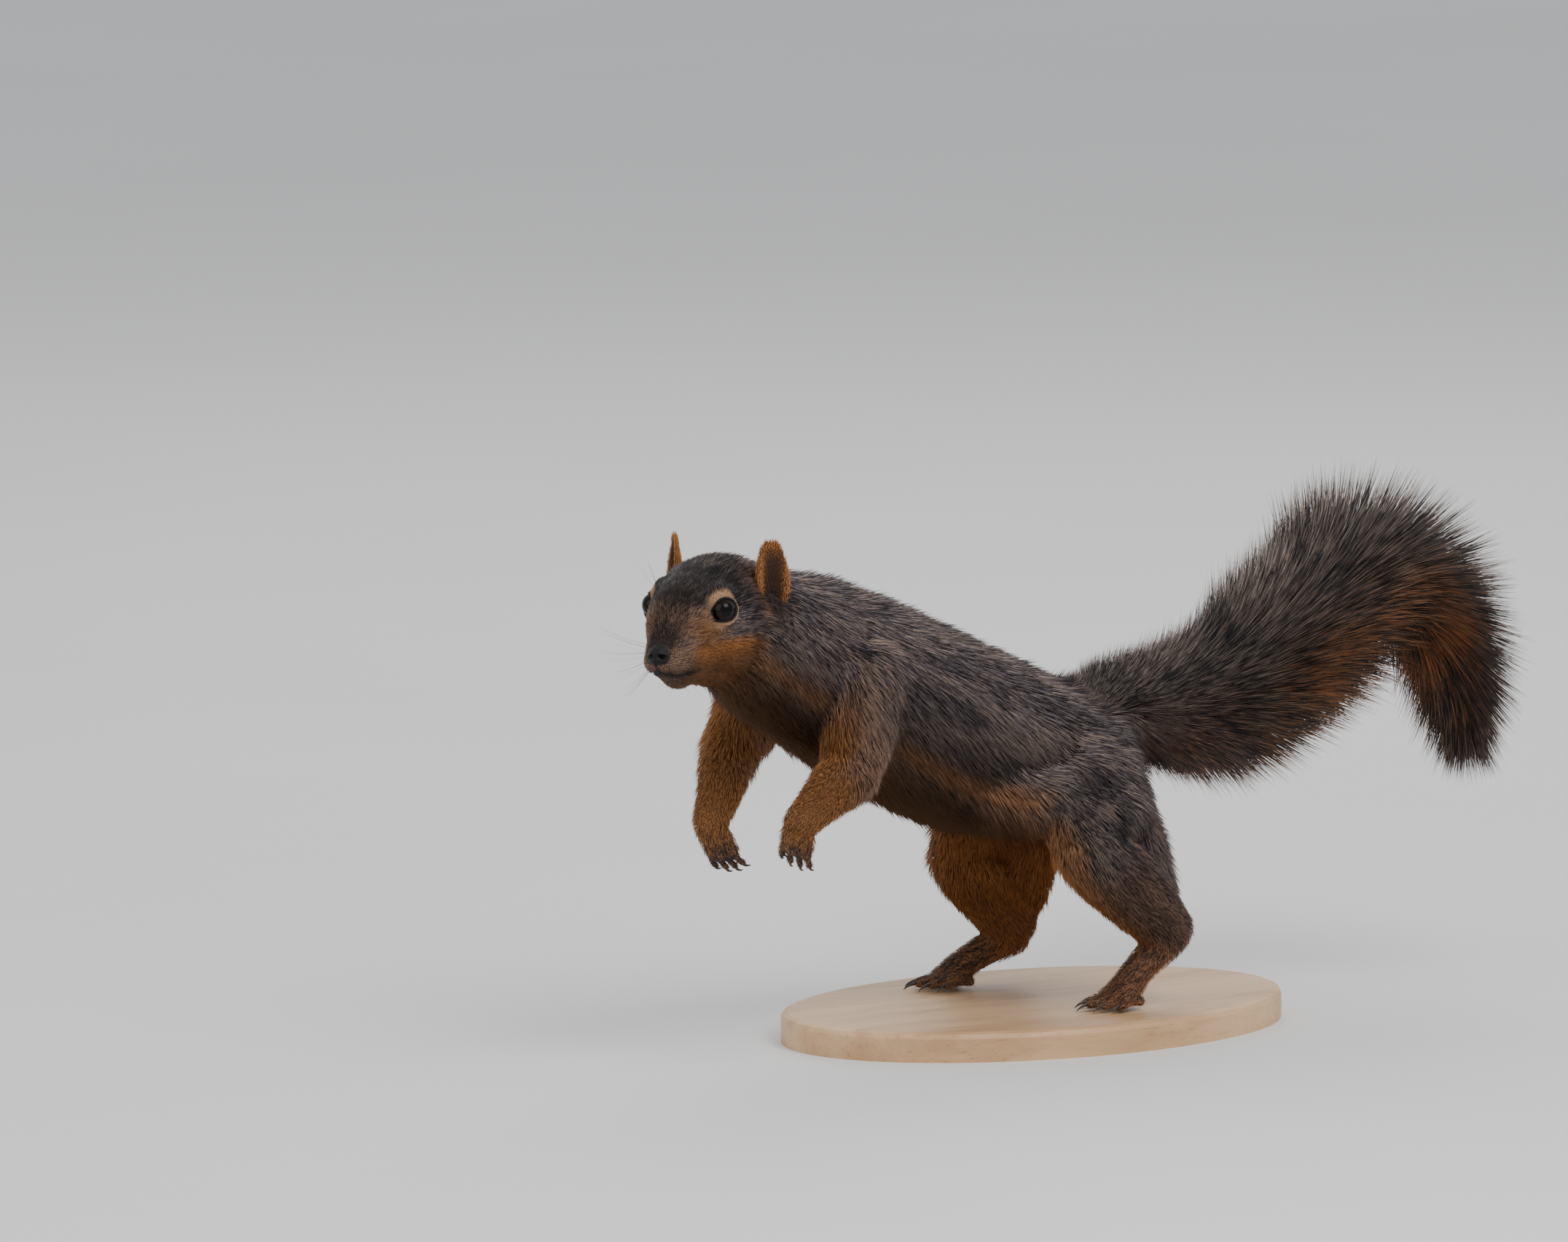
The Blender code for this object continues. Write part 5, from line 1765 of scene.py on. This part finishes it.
@dataclass
class Coat:
    """All the fur."""

    colours: CoatColours
    kinds: tuple[Pelage, ...] = (
        Pelage("face_fur", "on_face", 2, 31000, 0.085, 0.16, 0.30, 260, 0.6, 1.15,
               Tuft(rise=0.34, thickness=0.035), "coat_grizzled"),
        Pelage("body_fur", "on_body", 3, 32000, 0.15, 0.15, 0.50, 110, 0.6, 1.15,
               Tuft(rise=0.46, thickness=0.022), "coat_grizzled"),
        Pelage("leg_fur", "on_legs", 1, 24000, 0.12, 0.16, 0.35, 180, 0.6, 1.15,
               Tuft(rise=0.40, thickness=0.030), "coat_rufous"),
        Pelage("tail_fur", "on_tail", 2, 32000, 0.105, 0.17, 0.36, 60, 0.40, 1.06,
               Tuft(((0.42, 1.0),), rise=0.04, thickness=0.008), "coat_tail"),
    )

    @staticmethod
    def masks(mesh: Mesh, ground: Ground) -> None:
        """Stores where each kind of fur grows."""
        parts = ground.parts
        limbs = sum(parts[p] for p in (Part.FOREARM, Part.HAND, Part.SHANK, Part.FOOT))
        legs = ramp(0.4, 0.6, limbs)
        face = np.maximum(ramp(0.35, 0.65, parts[Part.HEAD] * (1 - ground.brush)), ground.ear)
        store(mesh, "on_face", face)
        tail = ramp(0.32, 0.55, ground.brush)
        store(mesh, "on_legs", (1 - face) * legs * (1 - tail))
        store(mesh, "on_body", (1 - face) * (1 - legs) * (1 - tail))
        store(mesh, "on_tail", tail)

    @staticmethod
    def area(mesh: Mesh, where: str) -> float:
        """The skin's area where a kind of fur grows, weighed by its density."""
        sizes = np.empty(len(mesh.polygons), np.float32)
        mesh.polygons.foreach_get("area", sizes)
        share = np.ones(len(mesh.vertices), np.float32)
        for name in (where, "density"):
            values = np.empty(len(mesh.vertices), np.float32)
            mesh.attributes[name].data.foreach_get("value", values)
            share *= values
        first = np.empty(len(mesh.polygons), np.int32)
        mesh.polygons.foreach_get("loop_start", first)
        corner = np.empty(len(mesh.loops), np.int32)
        mesh.loops.foreach_get("vertex_index", corner)
        return float((sizes * share[corner[first]]).sum())

    def build(self, skin: Mesh) -> list[tuple[Mesh, str]]:
        """Grows every piece.

        Args:
            skin: The skin with the coat's fields.

        Returns:
            The meshes with their slots.
        """
        tree, finish = TuftTree(), self.colours.coat()
        made: list[tuple[Mesh, str]] = []
        for k, kind in enumerate(self.kinds):
            tuft = kind.tuft.object()
            density = kind.tufts / self.area(skin, kind.where)
            for piece in range(kind.pieces):
                mesh = tree.grow(skin, f"{kind.name}_{piece + 1}", {
                    "Tuft": tuft, "Where": kind.where, "Seed": 101 + 17 * k + piece, "Density": density,
                    "Width": kind.width * MM, "Spread": kind.spread, "Lock": kind.lock,
                    "Lock Size": float(kind.lock_size), "Shortest": kind.shortest, "Longest": kind.longest,
                    "Finish": finish})
                log.info("%s: %d triangles", mesh.name, triangles(mesh))
                made.append((mesh, kind.slot))
            drop(tuft)
        return made


# ---- Eyes, claws and whiskers


@dataclass
class Eyes:
    """The eyeballs: a dark brown iris round a black pupil under a clear gloss."""

    stance: Stance
    iris: float = 3.9 * MM
    pupil: float = 2.5 * MM
    iris_dark: Triple = srgb(14, 8, 6)
    iris_light: Triple = srgb(27, 15, 10)
    pupil_black: Triple = srgb(3, 3, 3)
    rim: Triple = srgb(8, 6, 6)

    def mesh(self, side: Side) -> Mesh:
        """An eyeball, its front swelling into the cornea."""
        axis = self.stance.eye_axis(side)
        frame = frame_along(axis, UP)
        ball = self.stance.eye_radius / MM
        mesh = ellipsoid("eye", self.stance.eye_centre(side), (ball, ball, ball), frame, 64)
        places, centre = points_of(mesh), np.array(self.stance.eye_centre(side))
        away = places - centre
        front = unit(away) @ np.array(axis)
        swell = 1 + 0.045 * ramp(0.72, 0.98, front)
        move_points(mesh, centre + away * swell[:, None])
        off = np.linalg.norm(away - np.outer(away @ np.array(axis), np.array(axis)), axis=1)
        store(mesh, "off_axis", np.where(front > 0, off / MM, 9.0))
        mesh.shade_smooth()
        return mesh

    def finish(self) -> bpy.types.Material:
        """The eye's material."""
        graph = Graph("eye")
        off = graph.attribute("off_axis")
        streaks = graph.noise(graph.place(), 2200.0, 3.0)
        pupil, edge = self.pupil / MM, self.iris / MM
        iris = graph.mix(streaks.ramp(0.3, 0.7), self.iris_dark, self.iris_light)
        colour = graph.mix(off.ramp(pupil - 0.15, pupil + 0.15), self.pupil_black, iris)
        colour = graph.mix(off.ramp(edge, edge + 0.8), colour, self.rim)
        return graph.surface(Base_Color=colour, Roughness=0.04, Specular_IOR_Level=0.16)


@dataclass
class Claws:
    """The hooked claws of the hands and the hind feet."""

    limbs: Limbs
    horn_dark: Triple = srgb(28, 22, 20)
    horn_light: Triple = srgb(70, 56, 48)

    def mesh(self) -> Mesh:
        """All the claws as one mesh."""
        digits = [d for side in Side for d in (*self.limbs.fingers(side), *self.limbs.toes(side))]
        mesh = joined("claws", [digit.claw() for digit in digits])
        places = points_of(mesh)
        places[:, 2] = np.maximum(places[:, 2], 0.05 * MM)
        move_points(mesh, places)
        mesh.shade_smooth()
        return mesh

    def finish(self) -> bpy.types.Material:
        """The horn's material."""
        graph = Graph("claw")
        streaks = graph.noise(graph.stretched(graph.place(), (1, 1, 0.3)), 2500.0)
        colour = graph.mix(streaks.ramp(0.3, 0.7), self.horn_dark, self.horn_light)
        return graph.surface(Base_Color=colour, Roughness=0.38, Normal=graph.bump(streaks, 0.3, 0.0001))


@dataclass
class Whiskers:
    """Long stiff hairs of the muzzle and the few over the eyes."""

    stance: Stance
    rows: int = 4
    in_row: int = 5
    over_eye: int = 3
    thickness: float = 0.13  # half a whisker's, in millimetres
    seed: int = 11
    root: Triple = srgb(14, 11, 10)
    tip: Triple = srgb(38, 30, 27)

    def roots(self) -> Mesh:
        """The points that they grow from, with their way, their length and their spot on the map."""
        places: list[Vector] = []
        ways: list[Vector] = []
        lengths: list[float] = []
        at, axes = self.stance.in_head, self.stance.axes
        for side in Side:
            s = side.value
            for row in range(self.rows):
                for k in range(self.in_row):
                    down, back = row / (self.rows - 1), k / (self.in_row - 1)
                    places.append(at((4.6 + 3.0 * back) * s, 23.5 - 7.5 * back, -12.2 - 5.4 * down))
                    way = Vector(((0.80 + 0.2 * back) * s, 0.34 - 0.75 * back, 0.34 - 0.95 * down))
                    ways.append((axes @ way).normalized())
                    lengths.append((17 + 17 * back - 4 * abs(down - 0.4)) * MM)
            for k in range(self.over_eye):
                places.append(at((9.5 + 1.4 * k) * s, 6.5 - 3 * k, 5.2 + 0.8 * k))
                ways.append((axes @ Vector((0.55 * s, 0.1 - 0.3 * k, 0.8))).normalized())
                lengths.append((13 + 2 * k) * MM)
        mesh = bpy.data.meshes.new("whisker_roots")
        mesh.from_pydata([tuple(p) for p in places], [], [])
        count = len(places)
        spots = np.full((count, 3), 0.5)
        spots[:, 0] = (np.arange(count) + 0.5) / count
        store(mesh, "lie", np.array(ways))
        store(mesh, "outward", np.tile(np.array([0.0, 0.0, -1.0]), (count, 1)))
        store(mesh, "length", np.array(lengths))
        store(mesh, "skin_uv", spots)
        return mesh

    def mesh(self, finish: bpy.types.Material) -> Mesh:
        """All the whiskers as one mesh."""
        rings = tuple((t, 1 - 0.75 * t) for t in (0.02, 0.2, 0.4, 0.6, 0.8))
        form = Tuft(rings, rise=0.16, thickness=0.0022).object()
        made = TuftTree(scattered=False).grow(self.roots(), "whiskers", {
            "Tuft": form, "Where": "", "Seed": self.seed, "Density": 0.0, "Width": self.thickness * MM,
            "Spread": 0.07, "Lock": 0.0, "Lock Size": 1.0, "Shortest": 0.85, "Longest": 1.1,
            "Finish": finish})
        drop(form)
        return made

    def finish(self) -> bpy.types.Material:
        """The whiskers' material."""
        graph = Graph("whisker")
        colour = graph.mix(graph.attribute("along"), self.root, self.tip)
        return graph.surface(Base_Color=colour, Roughness=0.35)


# ---- The stand and the studio


@dataclass(frozen=True)
class BaseFinish:
    """Pale oiled beech for the display base."""

    light: Triple = srgb(206, 170, 128)
    dark: Triple = srgb(160, 116, 76)

    def material(self) -> bpy.types.Material:
        """The wood's material, its grain running along the base."""
        graph = Graph("base_wood")
        place = graph.place()
        waver = graph.node("TexNoise", {}, {"Vector": place, "Scale": 7.0}, "Color")
        bent = graph.node("VectorMath", {"operation": "ADD"},
                          (graph.stretched(place, (26.0, 2.2, 26.0)), waver))
        figure = graph.noise(bent, 2.4, 5.0, 0.62)
        flecks = graph.noise(graph.stretched(place, (900.0, 60.0, 900.0)), 1.0, 2.0).ramp(0.58, 0.74)
        share = (figure.ramp(0.3, 0.72) * 0.65 + flecks * 0.3).clamped()
        colour = graph.mix(share, self.light, self.dark)
        rough = 0.42 + flecks * 0.15
        normal = graph.bump(flecks + figure, 0.2, 0.0002)
        return graph.surface(Base_Color=colour, Roughness=rough, Normal=normal)


@dataclass
class Studio:
    """The pale floor, the soft lights and the camera."""

    aim: Vector = field(default_factory=lambda: Vector((-0.078, -0.079, 0.161)))
    azimuth: float = math.radians(60)
    elevation: float = math.radians(8)
    distance: float = 5.0
    wide: float = 0.633
    middle: Vector = field(default_factory=lambda: Vector((0, 0, 0.12)))
    lights_away: float = 2.2
    floor_half: float = 6.0
    floor_dark: Triple = srgb(214, 213, 210)
    floor_light: Triple = srgb(222, 221, 219)
    sky: Triple = (0.93, 0.95, 1.0)
    sky_strength: float = 0.75

    @staticmethod
    def way(azimuth: float, elevation: float) -> Vector:
        """The way from the middle to a place round it."""
        level = math.cos(elevation)
        return Vector((math.sin(azimuth) * level, -math.cos(azimuth) * level, math.sin(elevation)))

    def floor(self) -> bpy.types.Object:
        """The plain level floor."""
        half = self.floor_half
        corners = [(-half, -half, 0), (half, -half, 0), (half, half, 0), (-half, half, 0)]
        mesh = mesh_from("floor", corners, [(0, 1, 2, 3)])
        floor = add_object("floor", mesh)
        graph = Graph("floor")
        colour = graph.mix(graph.noise(graph.place(), 3.0), self.floor_dark, self.floor_light)
        mesh.materials.append(graph.surface(Base_Color=colour, Roughness=0.8))
        return floor

    @staticmethod
    def aimed(name: str, data: bpy.types.ID, place: Vector, target: Vector) -> bpy.types.Object:
        """Adds a light or a camera that faces a target."""
        made = bpy.data.objects.new(name, data)
        made.location = place
        made.rotation_euler = (made.location - target).to_track_quat("Z", "Y").to_euler()
        bpy.context.scene.collection.objects.link(made)
        return made

    def light(self, name: str, azimuth: float, elevation: float, size: float, power: float) -> None:
        """A soft square light aimed at the middle, its angles in degrees."""
        lamp = bpy.data.lights.new(name, "AREA")
        lamp.size, lamp.energy = size, power
        way = self.way(math.radians(azimuth), math.radians(elevation))
        self.aimed(name, lamp, self.middle + way * self.lights_away, self.middle)

    def build(self) -> None:
        """Sets up the floor, the lights, the surroundings and the camera."""
        self.floor()
        self.light("key", 95, 48, 1.3, 34)
        self.light("fill", 10, 30, 1.8, 12)
        self.light("back", 235, 45, 1.5, 16)
        world = bpy.data.worlds.new("surroundings")
        world.use_nodes = True
        sky = world.node_tree.nodes["Background"]
        sky.inputs["Color"].default_value = (*self.sky, 1.0)
        sky.inputs["Strength"].default_value = self.sky_strength
        bpy.context.scene.world = world
        lens = bpy.data.cameras.new("camera")
        lens.sensor_width = 36.0
        lens.lens = lens.sensor_width * self.distance / self.wide
        lens.clip_end = 50.0
        place = self.aim + self.way(self.azimuth, self.elevation) * self.distance
        bpy.context.scene.camera = self.aimed("camera", lens, place, self.aim)


# ---- Putting it together


def place_piece(name: str, mesh: Mesh, shift: Vector, finish: bpy.types.Material | None,
                slot: str, stands_for: Sequence[str] = ()) -> bpy.types.Object:
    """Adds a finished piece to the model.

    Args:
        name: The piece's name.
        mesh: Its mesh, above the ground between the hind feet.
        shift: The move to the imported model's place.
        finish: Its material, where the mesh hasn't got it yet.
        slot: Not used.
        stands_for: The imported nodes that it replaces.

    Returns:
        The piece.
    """
    mesh.transform(Matrix.Translation(shift))
    if finish:
        mesh.materials.clear()
        mesh.materials.append(finish)
    piece = add_object(name, mesh)
    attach(piece, "root")
    if stands_for:
        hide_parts(*stands_for)
    log.info("%s: %d triangles", name, triangles(mesh))
    return piece


def main() -> None:
    """Builds the skin, the coat, the eyes, the claws, the whiskers, the base's finish and the studio."""
    logging.basicConfig(level=logging.INFO, format="%(message)s")
    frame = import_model()
    stance = Stance()
    shift = stance.shift()
    trunk, tail, head, limbs = Trunk(), Tail(), Head(stance), Limbs(stance)
    colours = CoatColours()
    growth = Growth(stance, trunk, tail, head, limbs)

    skin, ears = Skin(stance, trunk, tail, head, limbs).build()
    ground = growth.cover(skin, ears)
    kept = ("left_eye", "right_eye")
    flesh = [n for n in frame["nodes"] if n not in kept and not n.startswith("stand_")]
    coat = Coat(colours)
    coat.masks(skin, ground)
    skin_piece = place_piece("skin", skin, Vector(), colours.hide(), "coat_grizzled", flesh)
    Skin.unwrap(skin_piece, "skin_uv")
    for mesh, slot in coat.build(skin_piece.data):
        place_piece(mesh.name, mesh, shift, None, slot)
    skin_piece.data.transform(Matrix.Translation(shift))

    eyes = Eyes(stance)
    for side in Side:
        name = f"{side.name.lower()}_eye"
        place_piece(f"{name}_ball", eyes.mesh(side), shift, eyes.finish(), "eye_gloss", [name])
    claws = Claws(limbs)
    place_piece("claws", claws.mesh(), shift, claws.finish(), "paw")
    whiskers = Whiskers(stance)
    place_piece("whiskers", whiskers.mesh(whiskers.finish()), shift, None, "coat_grizzled")

    wood = BaseFinish().material()
    for name, obj in frame["nodes"].items():
        if name.startswith("stand_"):
            for slot in obj.material_slots:
                slot.material = wood
    Studio().build()


if __name__ == "__main__":
    main()
